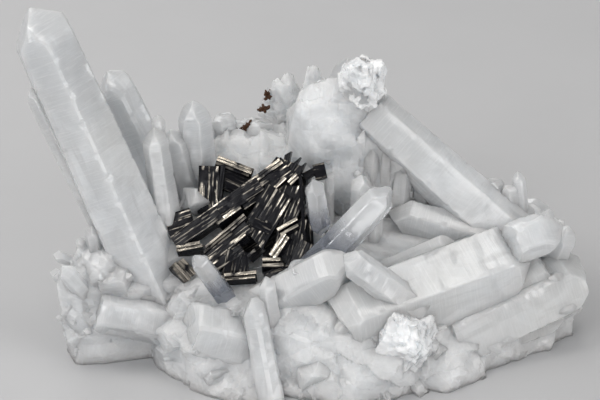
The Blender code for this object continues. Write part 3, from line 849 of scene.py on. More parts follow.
def spread_over(field, size, pick):
    """Each value replaced by the largest or smallest one near it, round the ring and up the rows."""
    kept = field
    for shift in range(1, size + 1):
        kept = pick(kept, pick(np.roll(field, shift, axis=1), np.roll(field, -shift, axis=1)))
    padded = np.concatenate([np.repeat(kept[:1], size, 0), kept, np.repeat(kept[-1:], size, 0)])
    views = np.lib.stride_tricks.sliding_window_view(padded, 2 * size + 1, axis=0)
    return views.max(-1) if pick is np.maximum else views.min(-1)


def lower_half(point, top=17.0):
    """The half of a quartz point below its middle line, and below a height, as a solid of flat faces.

    Its middle, the faces' outward directions, and their distances from the middle.
    """
    foot, tip = np.array(point.foot, float), np.array(point.tip, float)
    right, back, along = crystal_frame(foot, tip)
    angles = math.radians(point.turn) + SIXTH * np.arange(6)
    sides = np.outer(np.cos(angles), right) + np.outer(np.sin(angles), back)
    half, middle = np.linalg.norm(tip - foot) / 2, (foot + tip) / 2
    normals = np.concatenate([sides, [along, -along, unit(UP - along * along[2]), UP]])
    ends = [half - 0.5 * point.width, half, 0, top - middle[2]]
    return middle, normals, np.concatenate([np.full(6, point.width / 2 * (0.5 + point.thin / 2)), ends])


class Mass(NamedTuple):
    """A broken mass of quartz as one shape: how far out it stands along and round an axis."""

    axis: np.ndarray
    heading: np.ndarray
    reach: np.ndarray


def filled_mass(solids, start, directions, length, columns=600, pitch=0.36):
    """One shape round many flat-faced solids, with the valleys between them filled.

    At each station and heading it stands as far from the axis as the farthest solid that a square line
    from the axis leaves. Valleys are filled by widening that distance over a span and then narrowing it
    again over the same span. The directions are two square to the axis, and the axis's own.
    """
    side, rise, along = directions
    turn = np.arange(columns) / columns * 2 * math.pi
    heading = np.cos(turn)[:, None] * side + np.sin(turn)[:, None] * rise
    axis = np.array(start) + np.arange(0.0, length, pitch)[:, None] * along
    reach = np.full((len(axis), columns), 1.0)
    for middle, normals, reaches in solids:
        slack = (reaches - (axis - np.array(middle)) @ normals.T)[:, None]
        toward = heading @ normals.T
        level = np.abs(toward) < 1e-6
        cross = slack / np.where(level, 1e-6, toward)
        leave = np.where(toward > 1e-6, cross, 1e9).min(-1)
        enter = np.where(toward < -1e-6, cross, -1e9).max(-1)
        met = (leave > enter) & (leave > 0) & ~(level & (slack < 0)).any(-1)
        reach = np.maximum(reach, np.where(met, leave, 1.0))
    reach = spread_over(spread_over(reach, FILLED_SPAN, np.maximum), FILLED_SPAN, np.minimum)
    for _ in range(3):
        reach = (np.roll(reach, 1, 1) + 2 * reach + np.roll(reach, -1, 1)) / 4
        reach[1:-1] = (reach[:-2] + 2 * reach[1:-1] + reach[2:]) / 4
    return Mass(axis, heading, reach)


def mass_patch(mass, stretch, relief, frosted):
    """The skin of a mass: its shape, with a broken relief of flat facets on it.

    stretch draws the facets out along each axis of space, and frosted gives how snowy each place is,
    from 0 to 1.
    """
    place = mass.axis[:, None] + mass.heading * mass.reach[..., None]
    drawn = place / np.array(stretch)
    broken = broken_faces(drawn, *MASS_FACES) + broken_faces(drawn, *SMALL_MASS_FACES)
    snow = frosted(place)
    height = (crags(drawn, FACETED, "rock") + broken) * relief
    height = height + crags(place, SNOW, "snow") * 0.5 * snow - 0.9
    rings = place + mass.heading * (height * np.clip(mass.reach / 6, 0, 1))[..., None]
    stations, columns = mass.reach.shape
    flat = np.stack(np.meshgrid(np.arange(columns) * 0.03, np.arange(stations) * 0.036), axis=-1)
    tone = np.stack([np.full(snow.shape, 0.5), np.full(snow.shape, 0.3), snow], axis=-1)
    return closed_patch(rings, flat, tone)


def bed_mass():
    """The lying mass: the lumps whose middles are low, and the undersides of the points in front."""
    lying = [lump for lump in LUMPS if lump.middle[2] < BED_TOP and lump.name not in WALL_LUMPS]
    solids = [(lump.middle, *lump_facets(lump)) for lump in lying]
    solids += [lower_half(point) for point in QUARTZ if lies_in_front(point)]
    return filled_mass(solids, BED_START, (ACROSS, AWAY, UP), BED_LENGTH)


def wall_mass():
    """The standing mass behind the hollow, with the upper underside of the point that leans on it."""
    standing = [lump for lump in LUMPS if lump.name in WALL_LUMPS] + WALLS + [SPARKLING_PEAK]
    solids = [(lump.middle, *lump_facets(lump)) for lump in standing]
    leaning = next(point for point in QUARTZ if point.name == "leaning_back_point")
    foot = np.array(leaning.tip) + 0.4 * (np.array(leaning.foot) - np.array(leaning.tip))
    solids.append(lower_half(leaning._replace(foot=tuple(foot)), 60.0))
    return filled_mass(solids, WALL_START, (AWAY, UP, ACROSS), WALL_LENGTH, 420, 0.4)


def nowhere(place):
    """Snow at no place."""
    return 0 * place[..., 0]


def left_of_middle(place):
    """Snow at the left: none right of x = -1 mm, and all of it 5 mm further left."""
    return np.clip((-1 - place[..., 0]) / 5, 0, 1)


def broad_face_frame():
    """Across, up and out of the sphalerite's broad face."""
    up = np.array((0.0, math.sin(FACE_LEAN), math.cos(FACE_LEAN)))
    return ACROSS, up, np.cross(ACROSS, up)


def lamellae(blade, thickness, chance):
    """A blade as a stack of thinner growth layers, each with its own ends and its own place in or out.

    A broad blade, which is hardly rolled, stays whole.
    """
    if blade.roll < LEDGE_ROLL:
        return [blade]
    count = max(1, round(blade.height / thickness))
    rise = math.radians(blade.rise)
    layers = []
    for i in range(count):
        offset = blade.height * ((i + 0.5) / count - 0.5)
        cut = chance.uniform(0, 0.16) * blade.length
        slide = chance.uniform(-0.5, 0.5) * cut
        layers.append(
            blade._replace(
                across=blade.across - math.sin(rise) * offset + math.cos(rise) * slide,
                up=blade.up + math.cos(rise) * offset + math.sin(rise) * slide,
                out=blade.out - chance.uniform(0, 0.28),
                length=blade.length - cut,
                height=blade.height / count * 0.97,
                point=min(blade.point, blade.length / 3),
            )
        )
    return layers


def ledges(up, along, size, depth, chance):
    """A stair of growth ledges: a relief over (up, along), and a mask of the parts that face upward, where a
    bronze sheen is painted.

    Up each period the surface steps out at once, stays level, and slopes back in. Each ledge has its
    own depth, and comes and goes along the blade.
    """
    wander = 0.25 * np.sin(along * chance.uniform(0.1, 0.3) + chance.uniform(0, 6))
    phase = up / size + wander + chance.uniform(0, 1)
    row = np.floor(phase)
    tooth = phase - row
    drawn = np.random.default_rng(chance.randrange(10**6))
    count = int(row.max() - row.min()) + 1
    index = (row - row.min()).astype(int)
    deep = drawn.uniform(0.35, 1.0, count)[index] * depth
    wave = np.sin(along * drawn.uniform(0.35, 1.1, count)[index] + drawn.uniform(0, 6, count)[index])
    deep = deep * np.clip(0.5 + 4 * (wave + drawn.uniform(-0.9, 0.6, count)[index]), 0, 1)
    back = drawn.uniform(0.66, 0.84, count)[index]
    relief = deep * (np.clip(tooth / LEDGE_RISE, 0, 1) - np.clip((tooth - back) / (LEDGE_END - back), 0, 1))
    sheen_mask = ((tooth > back) & (tooth < LEDGE_END)) * np.clip(deep / depth * 1.6, 0, 1)
    return relief - depth / 2, sheen_mask


def blade_frame(blade):
    """A blade's middle, the way that its front faces, the way across it, and the way along it."""
    across, up, out = broad_face_frame()
    middle = np.array(SPHALERITE_MIDDLE) + across * blade.across + up * blade.up + out * blade.out
    rise, roll = math.radians(blade.rise), math.radians(-blade.roll)
    along = across * math.cos(rise) + up * math.sin(rise)
    upright = up * math.cos(rise) - across * math.sin(rise)
    ledge = upright * math.cos(roll) + out * math.sin(roll)
    front = out * math.cos(roll) - upright * math.sin(roll)
    return middle, front, ledge, along


def blade_relief(blade, side, spread, tall, groove, chance):
    """The relief of one side of a blade, and a mask of the parts that catch the light, where a bronze sheen
    is painted.
    """
    relief = swell(spread[None], tall, BLADE_SWELLS, chance)
    sheen_mask = np.zeros((len(tall), len(spread)))
    is_ledge = blade.roll >= LEDGE_ROLL
    if side == 0 and not is_ledge and blade.height > 1.5:
        stair, sheen_mask = ledges(spread[None], tall, chance.uniform(1.1, 1.7), groove * 3.6, chance)
        fine, glint = ledges(spread[None], tall, chance.uniform(0.6, 0.9), groove * 1.2, chance)
        relief = relief + stair + fine
        sheen_mask = np.maximum(sheen_mask, glint * 0.7)
    else:
        relief = relief + groove * (steps(spread[None], tall * 0.35, GROOVE_STEPS, chance) - 0.6)
    # the whole front of a rolled layer gets the painted bronze sheen
    if side == 0 and is_ledge:
        sheen_mask = sheen_mask + 1
    return relief, sheen_mask


def blade_patch(blade, groove, edge=0.05):
    """The skin of a sphalerite layer.

    Its section is a rectangle with narrow worn corners, drawn along its length. Its front carries
    ledges and its broad sides carry fine grooves, both along the length. A pointed end is pressed back
    on to a slanting face.
    """
    chance = random.Random(f"{blade.across:.2f} {blade.up:.2f} {blade.out:.2f}")
    middle, front, ledge, along = blade_frame(blade)
    half = blade.length / 2
    inner = np.linspace(-half, half, max(6, round(blade.length / 0.45)))
    stations = np.sort(np.concatenate([inner, [-half + edge, half - edge]]))
    tall = stations[:, None]
    pinch = (1 - np.clip((half - np.abs(tall)) / edge, 0, 1)) * edge

    pieces, seams, tread_sheens = [], [], []
    sides = ((blade.depth / 2, blade.height), (blade.height / 2, blade.depth))
    for side in range(4):
        reach, wide = sides[side % 2]
        count = max(4, min(90, round(wide / (0.09 if side == 0 else 0.2))))
        spread = np.linspace(-wide / 2 + edge, wide / 2 - edge, count)
        relief, sheen_mask = blade_relief(blade, side, spread, tall, groove, chance)
        out_part = reach + relief - pinch
        side_part = np.broadcast_to(spread, relief.shape) * (1 - pinch / reach)
        turn = math.radians(90) * side
        x = out_part * math.cos(turn) - side_part * math.sin(turn)
        y = out_part * math.sin(turn) + side_part * math.cos(turn)
        pieces.append(np.stack([x, y], axis=-1))
        seams.append(np.broadcast_to(spread + side * 7.0, relief.shape))
        tread_sheens.append(sheen_mask)

    section = np.concatenate(pieces, axis=1)
    place = np.broadcast_to(tall, section.shape[:2]).copy()
    for share, sign in ((blade.point, 1), (blade.point_low, -1)):
        if share:
            limit = half - (section[..., 1] + blade.height / 2) * share / blade.height
            place = np.where(place * sign > limit, sign * limit + (place - sign * limit) * PRESSED, place)
    rings = middle + section[..., :1] * front - front * (blade.depth / 2)
    rings = rings + section[..., 1:] * ledge + place[..., None] * along
    flat = np.stack([np.concatenate(seams, axis=1), place], axis=-1) * MAP_SCALE
    # the tone's green carries the painted bronze sheen of the ledges
    tread_sheen = np.concatenate(tread_sheens, axis=1)
    shade = np.full(tread_sheen.shape, chance.uniform(0, 1))
    return closed_patch(rings, flat, np.stack([shade, tread_sheen, np.zeros(tread_sheen.shape)], axis=-1))


def far_points():
    """Points that fan out from the bed on the side away from the front, in a low tier and a high one."""
    chance = random.Random("far side")
    points = []
    for name, (count, middle, radii, heights, climbs, lengths) in FAR_TIERS.items():
        for i in range(count):
            heading = math.radians(14 + 152 * (i + chance.uniform(0.1, 0.9)) / count)
            climb = math.radians(chance.uniform(*climbs))
            outward = np.array((math.cos(heading), math.sin(heading), 0))
            x, y = (start + reach * share for start, reach, share in zip(middle, radii, outward))
            foot = np.array((x, y, chance.uniform(*heights)))
            tip = foot + (outward * math.cos(climb) + UP * math.sin(climb)) * chance.uniform(*lengths)
            width = chance.uniform(4, 8)
            points.append(Point(f"{name}_{i}", tuple(foot), tuple(tip), width, chance.uniform(0, 60)))
    return points


def druse_points():
    """Small points scattered over the bed, each leaning from its own lump outward and up."""
    drawn = random.Random("druse")
    points = []
    for lump in LUMPS:
        normals, reaches = lump_facets(lump)
        for i in range(DRUSE.get(lump.name, 0)):
            heading = unit((drawn.gauss(0, 1), drawn.gauss(-0.3, 1), abs(drawn.gauss(0.3, 1))))
            reach = 1 / (np.maximum(normals @ heading, 0) / reaches).max()
            foot = np.array(lump.middle) + heading * reach * 0.93
            size = drawn.uniform(0.8, 1.1) * drawn.choice((1.0, 1.3, 1.8, 2.6))
            lean = unit(heading + 0.4 * UP + np.array([drawn.gauss(0, 0.3) for _ in range(3)]))
            foot = foot - lean * size
            tip = foot + lean * size * drawn.uniform(2.2, 3.8)
            blunt = drawn.choice((0, 0, 0, 0.6))
            if size > 2 and tip[1] < -18:
                # too big a point for the front, where it would hide the named ones
                continue
            turn = drawn.uniform(0, 60)
            points.append(Point(f"{lump.name} {i}", tuple(foot), tuple(tip), size, turn, 1, blunt))
    return points


def spikes(speck):
    """A speck as a small ragged bunch of thin crystals of unlike lengths that cross in its middle."""
    drawn = random.Random(speck.name)
    middle, radii = np.array(speck.middle), np.array(speck.radii)
    points = []
    reach = 1.3 if "cap" in speck.name else 2.2
    for i in range(10):
        heading = unit((drawn.gauss(0, 1), drawn.gauss(0, 0.8), drawn.gauss(0, 0.6)))
        along = reach * drawn.uniform(0.5, 1.0) * radii * heading
        width = min(speck.radii) * drawn.uniform(0.35, 0.75)
        foot, tip = tuple(middle - along), tuple(middle + along * 1.15)
        points.append(Point(f"{speck.name} {i}", foot, tip, width, 20, 0.6, 0.0, True))
    return points


# ---------------------------------------------------------------- meshes


def mesh_piece(name, patch, look, nodes, crease=18):
    """An object from a skin, in the frame's metres, that stands for these nodes of the part.

    Nothing goes below the floor. Edges bent further than the crease, in degrees, stay sharp.
    """
    place = (patch.points - np.array((*MIDDLE, 0.0))) * MM
    place[:, 2] = np.maximum(place[:, 2], 0.0)
    mesh = bpy.data.meshes.new(name)
    corners = np.concatenate([patch.quads.ravel(), patch.fans.ravel()]).astype(np.int32)
    counts = np.concatenate([np.full(len(patch.quads), 4), np.full(len(patch.fans), 3)])
    starts = np.concatenate([[0], np.cumsum(counts)[:-1]]).astype(np.int32)
    mesh.vertices.add(len(place))
    mesh.vertices.foreach_set("co", place.astype(np.float32).ravel())
    mesh.loops.add(len(corners))
    mesh.loops.foreach_set("vertex_index", corners)
    mesh.polygons.add(len(counts))
    mesh.polygons.foreach_set("loop_start", starts)
    mesh.update(calc_edges=True)
    mesh.validate()
    mesh.shade_smooth()
    mesh.set_sharp_from_angle(angle=math.radians(crease))
    flat_map = mesh.uv_layers.new(name="UVMap")
    flat_map.data.foreach_set("uv", patch.flat[corners].astype(np.float32).ravel())
    tone = mesh.color_attributes.new("tone", "FLOAT_COLOR", "POINT")
    shades = np.concatenate([patch.tone, np.ones((len(place), 1))], axis=1)
    tone.data.foreach_set("color", shades.astype(np.float32).ravel())
    mesh.materials.append(material(look))
    obj = bpy.data.objects.new(name, mesh)
    bpy.context.scene.collection.objects.link(obj)
    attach(obj, "root")
    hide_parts(*nodes)


def quartz_piece(name, patch, look="milky_quartz", crease=18):
    """A piece of the one intergrown quartz body."""
    mesh_piece(name, patch, look, ["quartz_cluster"], crease)


# ---------------------------------------------------------------- materials

QUARTZ_IOR = 1.55
# how deep red, green and blue light scatter, as shares of a depth
SCATTER = (0.95, 1.0, 1.03)
# colours of quartz: the white of its growth lines and cracks, which is also painted along its edges as a
# highlight, its warm stains, and crushed quartz
LINE_AND_HIGHLIGHT_WHITE = (0.985, 0.99, 0.995, 1.0)
WARM_STAIN = (0.88, 0.86, 0.80, 1.0)
CRUSHED_WHITE = (0.80, 0.81, 0.82, 1.0)
# clear quartz at its foot and at its frosted tip, and what is left of white light inside it
CLEAR_FOOT = (0.30, 0.32, 0.37, 1.0)
CLEAR_TIP = (0.95, 0.955, 0.96, 1.0)
CLEAR_INSIDE = (0.80, 0.84, 0.88, 1.0)
# the specks are browner than the rest of the sphalerite, and have no painted bronze sheen: their tone says
# so
SPECK_BROWN = (0.07, 0.035, 0.02, 1.0)
SPECK_TONE = (0.2, 0, 1)


def new_group(name, inputs, outputs):
    """A node group with number inputs, as (name, default), and number outputs, and its sockets for both."""
    tree = bpy.data.node_groups.new(name, "ShaderNodeTree")
    for label, default in inputs:
        socket = tree.interface.new_socket(label, in_out="INPUT", socket_type="NodeSocketFloat")
        socket.default_value = default
    for label in outputs:
        tree.interface.new_socket(label, in_out="OUTPUT", socket_type="NodeSocketFloat")
    return tree, node(tree, "NodeGroupInput").outputs, node(tree, "NodeGroupOutput").inputs


def node(tree, kind, **values):
    """A shader node, with its settings by attribute name and its sockets by name."""
    made = tree.nodes.new(kind)
    for key, value in values.items():
        if key in made.inputs:
            made.inputs[key].default_value = value
        else:
            setattr(made, key, value)
    return made


def join(tree, source, target):
    """Link one socket to another."""
    tree.links.new(source, target)


def feed(tree, sockets, values):
    """Give each socket its value: a link if that is another socket, and its own number or colour if not."""
    for socket, value in zip(sockets, values):
        if isinstance(value, bpy.types.NodeSocket):
            join(tree, value, socket)
        else:
            socket.default_value = value


def place_of(tree):
    """Where the surface is, in the frame's metres."""
    return node(tree, "ShaderNodeTexCoord").outputs["Object"]


def noise(tree, vector, scale, detail=3.0, rough=0.55, distortion=0.0):
    """Cloudy noise from 0 to 1."""
    made = node(tree, "ShaderNodeTexNoise")
    names = ("Vector", "Scale", "Detail", "Roughness", "Distortion")
    feed(tree, [made.inputs[name] for name in names], (vector, scale, detail, rough, distortion))
    return made.outputs["Fac"]


def ramp(tree, value, low, high, to_low=0.0, to_high=1.0):
    """A value held between low and high, and moved to another span."""
    made = node(tree, "ShaderNodeMapRange")
    made.inputs["From Min"].default_value = low
    made.inputs["From Max"].default_value = high
    made.inputs["To Min"].default_value = to_low
    made.inputs["To Max"].default_value = to_high
    join(tree, value, made.inputs["Value"])
    return made.outputs["Result"]


def math_node(tree, operation, a, b):
    """Two numbers added, multiplied or the like."""
    made = node(tree, "ShaderNodeMath", operation=operation)
    feed(tree, made.inputs, (a, b))
    return made.outputs[0]


def blend_colour(tree, share, a, b):
    """Colour a, with a share of colour b."""
    made = node(tree, "ShaderNodeMix", data_type="RGBA", clamp_factor=True)
    feed(tree, (made.inputs[0], made.inputs[6], made.inputs[7]), (share, a, b))
    return made.outputs[2]


def vector_node(tree, operation, a, b):
    """Two vectors subtracted or the like."""
    made = node(tree, "ShaderNodeVectorMath", operation=operation)
    feed(tree, made.inputs, (a, b))
    return made.outputs["Vector"]


def stretched(tree, vector, scale):
    """A vector with each of its parts made longer or shorter."""
    made = node(tree, "ShaderNodeMapping")
    made.inputs["Scale"].default_value = scale
    join(tree, vector, made.inputs["Vector"])
    return made.outputs["Vector"]


def growth_line_group():
    """Fine lines across a crystal's side faces, from the piece's own map.

    A height, and a mask of the clearer bands along the crystal.
    """
    tree, into, out = new_group("Growth lines", [("Fineness", 24.0), ("Wander", 0.06)], ["Height", "Bands"])
    flat = node(tree, "ShaderNodeUVMap", uv_map="UVMap").outputs["UV"]
    drawn_out = stretched(tree, flat, (0.05, 1.0, 1.0))
    join(tree, noise(tree, drawn_out, into["Fineness"], 4.0, 0.7, into["Wander"]), out["Height"])
    long_bands = noise(tree, stretched(tree, flat, (2.0, 0.2, 1.0)), 3.0, 3.0, 0.5, 0.4)
    join(tree, ramp(tree, long_bands, 0.44, 0.7), out["Bands"])
    return tree


def veil_group():
    """Cloudy veils and warm stains inside the quartz, from the piece's place: masks from 0 to 1."""
    tree, into, out = new_group("Veils", [("Size", 90.0)], ["Cloud", "Warmth"])
    place = place_of(tree)
    cloud = noise(tree, place, into["Size"], 6.0, 0.62, 0.8)
    join(tree, ramp(tree, cloud, 0.36, 0.66), out["Cloud"])
    join(tree, ramp(tree, noise(tree, place, 28.0, 2.0), 0.5, 0.72), out["Warmth"])
    return tree


def fracture_group():
    """Flat breaks in the quartz, from the piece's place.

    A grey for each break, the thin lines between them, and a height in metres that tilts each break its
    own way.
    """
    tree, into, out = new_group("Fractures", [("Size", 220.0), ("Wander", 0.004)], ["Face", "Line", "Tilt"])
    place = place_of(tree)
    drift = node(tree, "ShaderNodeTexNoise", Scale=110.0, Detail=2.0)
    join(tree, place, drift.inputs["Vector"])
    bent = node(tree, "ShaderNodeVectorMath", operation="MULTIPLY_ADD")
    drawn_out = stretched(tree, place, (0.8, 1.0, 1.3))
    feed(tree, bent.inputs, (drift.outputs["Color"], into["Wander"], drawn_out))

    cells = node(tree, "ShaderNodeTexVoronoi", feature="F1")
    join(tree, bent.outputs[0], cells.inputs["Vector"])
    join(tree, into["Size"], cells.inputs["Scale"])
    split = node(tree, "ShaderNodeSeparateColor")
    join(tree, cells.outputs["Color"], split.inputs["Color"])
    join(tree, split.outputs["Red"], out["Face"])
    away = vector_node(tree, "SUBTRACT", bent.outputs[0], cells.outputs["Position"])
    slope = vector_node(tree, "SUBTRACT", cells.outputs["Color"], (0.5, 0.5, 0.5))
    tilt = node(tree, "ShaderNodeVectorMath", operation="DOT_PRODUCT")
    feed(tree, tilt.inputs, (away, slope))
    join(tree, tilt.outputs["Value"], out["Tilt"])

    edges = node(tree, "ShaderNodeTexVoronoi", feature="DISTANCE_TO_EDGE")
    join(tree, bent.outputs[0], edges.inputs["Vector"])
    join(tree, into["Size"], edges.inputs["Scale"])
    join(tree, ramp(tree, edges.outputs["Distance"], 0.0, 0.035, 1.0, 0.0), out["Line"])
    return tree


def new_material(name, sockets):
    """A material, its node tree and its shader's sockets, with these numbers set on the shader's own."""
    made = bpy.data.materials.new(name)
    made.use_nodes = True
    shader = made.node_tree.nodes["Principled BSDF"].inputs
    for socket, value in sockets.items():
        shader[socket].default_value = value
    return made, made.node_tree, shader


def group_node(tree, group, **values):
    """A node group's outputs, with some of its inputs set."""
    made = tree.nodes.new("ShaderNodeGroup")
    made.node_tree = group
    for key, value in values.items():
        made.inputs[key].default_value = value
    return made.outputs


def tone_parts(tree):
    """The red, green and blue of each point's tone."""
    tone = node(tree, "ShaderNodeVertexColor", layer_name="tone")
    parts = node(tree, "ShaderNodeSeparateColor")
    join(tree, tone.outputs["Color"], parts.inputs["Color"])
    return parts.outputs


def bumped(tree, height, strength, distance, normal=None):
    """A bump's normal from a height, on top of another normal if there is one."""
    made = node(tree, "ShaderNodeBump", Strength=strength, Distance=distance)
    join(tree, height, made.inputs["Height"])
    if normal is not None:
        join(tree, normal, made.inputs["Normal"])
    return made.outputs["Normal"]


def quartz_sockets(depth, clarity, coat, coat_roughness):
    """Numbers of a milky quartz: light scatters in it to a depth in metres, and some passes through."""
    return {
        "IOR": QUARTZ_IOR,
        "Transmission Weight": clarity,
        "Coat Weight": coat,
        "Coat Roughness": coat_roughness,
        "Subsurface Weight": 1.0,
        "Subsurface Radius": SCATTER,
        "Subsurface Scale": depth,
    }


def milky_quartz(settings, groups):
    """Points: a polished skin over a cloudy body, with a painted white highlight along the edges and greyer
    bands along the crystal.
    """
    sockets = quartz_sockets(0.007, settings.clarity, 0.8, 0.06)
    made, tree, shader = new_material("Milky quartz", sockets)
    lines = group_node(tree, groups["lines"])
    veils = group_node(tree, groups["veils"])
    breaks = group_node(tree, groups["breaks"], Size=120.0)
    parts = tone_parts(tree)

    # how much veil there is: in bands, between the clouds, towards the tip, from break to break, and in
    # fine grains
    banded = math_node(tree, "MULTIPLY", lines["Bands"], 0.8)
    cloudy = math_node(tree, "MULTIPLY", math_node(tree, "SUBTRACT", 1.0, veils["Cloud"]), 0.7)
    share = math_node(tree, "MAXIMUM", banded, cloudy)
    share = math_node(tree, "ADD", math_node(tree, "MULTIPLY", parts["Green"], 0.75), share)
    share = math_node(tree, "ADD", share, ramp(tree, breaks["Face"], 0.0, 1.0, -0.15, 0.15))
    sugar = ramp(tree, noise(tree, place_of(tree), 1300.0, 3.0, 0.7), 0.46, 0.64, 0.0, 0.35)
    share = math_node(tree, "MAXIMUM", share, sugar)
    colour = blend_colour(tree, share, (*settings.milk, 1.0), (*settings.veil, 1.0))

    warm = math_node(tree, "MULTIPLY", veils["Warmth"], 0.25)
    colour = blend_colour(tree, warm, colour, WARM_STAIN)
    # whiter growth lines, and a painted white highlight along each edge from the tone's blue (rim)
    fine = ramp(tree, lines["Height"], 0.5, 0.7, 0.0, 0.32)
    rim = math_node(tree, "MULTIPLY", parts["Blue"], 0.12)
    colour = blend_colour(tree, math_node(tree, "MAXIMUM", fine, rim), colour, LINE_AND_HIGHLIGHT_WHITE)
    join(tree, colour, shader["Base Color"])
    join(tree, ramp(tree, veils["Cloud"], 0.0, 1.0, 0.30, 0.46), shader["Roughness"])
    join(tree, bumped(tree, lines["Height"], 0.5, 0.0002), shader["Normal"])
    return made


def massive_quartz(settings, groups):
    """The bed: a frosted skin over the same cloudy body, whiter where it is snowy."""
    made, tree, shader = new_material("Massive quartz", quartz_sockets(0.008, 0.3, 0.35, 0.1))
    veils = group_node(tree, groups["veils"], Size=120.0)
    breaks = group_node(tree, groups["breaks"])
    snowy = tone_parts(tree)["Blue"]
    place = place_of(tree)

    cloudy = math_node(tree, "MULTIPLY", math_node(tree, "SUBTRACT", 1.0, veils["Cloud"]), 0.75)
    sugar = ramp(tree, noise(tree, place, 1500.0, 3.0, 0.7), 0.42, 0.62, 0.0, 0.4)
    share = math_node(tree, "MAXIMUM", cloudy, sugar)
    share = math_node(tree, "ADD", share, ramp(tree, breaks["Face"], 0.0, 1.0, -0.12, 0.16))
    share = math_node(tree, "MULTIPLY", share, ramp(tree, snowy, 0.0, 1.0, 1.0, 0.35))
    colour = blend_colour(tree, share, (*settings.milk, 1.0), (*settings.veil, 1.0))

    line = math_node(tree, "MULTIPLY", breaks["Line"], veils["Cloud"])
    colour = blend_colour(tree, math_node(tree, "MULTIPLY", line, 0.4), colour, LINE_AND_HIGHLIGHT_WHITE)
    warm = math_node(tree, "MULTIPLY", veils["Warmth"], 0.15)
    join(tree, blend_colour(tree, warm, colour, WARM_STAIN), shader["Base Color"])
    join(tree, ramp(tree, noise(tree, place, 150.0), 0.35, 0.65, 0.34, 0.56), shader["Roughness"])

    grains = node(tree, "ShaderNodeTexVoronoi", Scale=1100.0)
    join(tree, place, grains.inputs["Vector"])
    height = math_node(tree, "ADD", grains.outputs["Distance"], noise(tree, place, 900.0, 4.0, 0.6))
    grainy = bumped(tree, height, 0.35, 0.0003)
    join(tree, bumped(tree, breaks["Tilt"], 0.7, 1.0, grainy), shader["Normal"])
    return made


def crushed_quartz(settings, groups):
    """Crushed quartz: white, and full of small bright breaks that each lie their own way."""
    sockets = {
        "Roughness": 0.17,
        "IOR": 1.6,
        "Subsurface Weight": 1.0,
        "Subsurface Radius": SCATTER,
        "Subsurface Scale": 0.003,
    }
    made, tree, shader = new_material("Crushed quartz", sockets)
    breaks = group_node(tree, groups["breaks"], Size=620.0, Wander=0.002)
    veils = group_node(tree, groups["veils"], Size=240.0)
    share = math_node(tree, "MULTIPLY", math_node(tree, "SUBTRACT", 1.0, breaks["Face"]), 0.8)
    share = math_node(tree, "MULTIPLY", share, veils["Cloud"])
    join(tree, blend_colour(tree, share, CRUSHED_WHITE, (*settings.veil, 1.0)), shader["Base Color"])
    join(tree, bumped(tree, breaks["Tilt"], 1.0, 1.2), shader["Normal"])
    return made


def clear_quartz(settings, groups):
    """See-through points: clear at the foot, and a little frosted towards the tip."""
    sockets = {
        "IOR": QUARTZ_IOR,
        "Transmission Weight": 0.7,
        "Coat Weight": 0.6,
        "Coat Roughness": 0.05,
    }
    made, tree, shader = new_material("Clear quartz", sockets)
    veils = group_node(tree, groups["veils"], Size=160.0)
    climb = tone_parts(tree)["Green"]
    milky = ramp(tree, climb, 0.3, 0.6)
    join(tree, blend_colour(tree, milky, CLEAR_FOOT, CLEAR_TIP), shader["Base Color"])
    frost = ramp(tree, climb, 0.5, 0.7, 0.0, 0.24)
    specks = ramp(tree, veils["Cloud"], 0.4, 1.0, 0.04, 0.2)
    join(tree, math_node(tree, "MAXIMUM", frost, specks), shader["Roughness"])
    absorb = node(tree, "ShaderNodeVolumeAbsorption", Density=50.0, Color=CLEAR_INSIDE)
    join(tree, absorb.outputs["Volume"], tree.nodes["Material Output"].inputs["Volume"])
    return made


def black_sphalerite(settings):
    """Black crystals with a bright lustre, and a painted metallic bronze sheen on the faces of their ledges
    that catch the light.
    """
    made, tree, shader = new_material("Sphalerite", {"IOR": 1.27})
    flat = node(tree, "ShaderNodeUVMap", uv_map="UVMap").outputs["UV"]
    streaks = noise(tree, stretched(tree, flat, (1.0, 0.06, 1.0)), 34.0, 4.0, 0.65)
    parts = tone_parts(tree)
    place = place_of(tree)

    # a painted bronze sheen, metallic: in patches, more of it on some layers than on others, streaked along
    # them, and only on the ledge faces that catch the light
    patches = ramp(tree, noise(tree, place, 300.0, 3.0, 0.6), 0.40, 0.52)
    some = ramp(tree, parts["Red"], 0.0, 0.5, 0.35, 1.0)
    some = math_node(tree, "MULTIPLY", some, ramp(tree, streaks, 0.4, 0.56, 0.12, 1.0))
    bronze_sheen = math_node(tree, "MULTIPLY", patches, math_node(tree, "MULTIPLY", some, parts["Green"]))
    body = blend_colour(tree, parts["Blue"], (*settings.body, 1.0), SPECK_BROWN)
    join(tree, blend_colour(tree, bronze_sheen, body, (*settings.sheen, 1.0)), shader["Base Color"])
    join(tree, bronze_sheen, shader["Metallic"])
    join(tree, ramp(tree, noise(tree, place, 420.0, 3.0), 0.3, 0.7, 0.1, 0.26), shader["Roughness"])
    join(tree, bumped(tree, streaks, 0.4, 0.0002), shader["Normal"])
    return made


def floor_material(settings):
    """A matt floor with the slightest mottle."""
    made, tree, shader = new_material("Floor", {"Roughness": 0.7})
    low = (*settings.floor, 1.0)
    high = (*[channel * 1.06 for channel in settings.floor], 1.0)
    join(tree, blend_colour(tree, noise(tree, place_of(tree), 40.0, 5.0), low, high), shader["Base Color"])
    return made


MATERIALS = {}


def material(name):
    """The named material, made on first use with the scene's settings."""
    if not MATERIALS:
        scene = bpy.context.scene
        groups = {"lines": growth_line_group(), "veils": veil_group(), "breaks": fracture_group()}
        for quartz in (milky_quartz, massive_quartz, crushed_quartz, clear_quartz):
            MATERIALS[quartz.__name__] = quartz(scene.mineral_quartz, groups)
        MATERIALS["sphalerite"] = black_sphalerite(scene.mineral_sphalerite)
    return MATERIALS[name]


# ---------------------------------------------------------------- operators


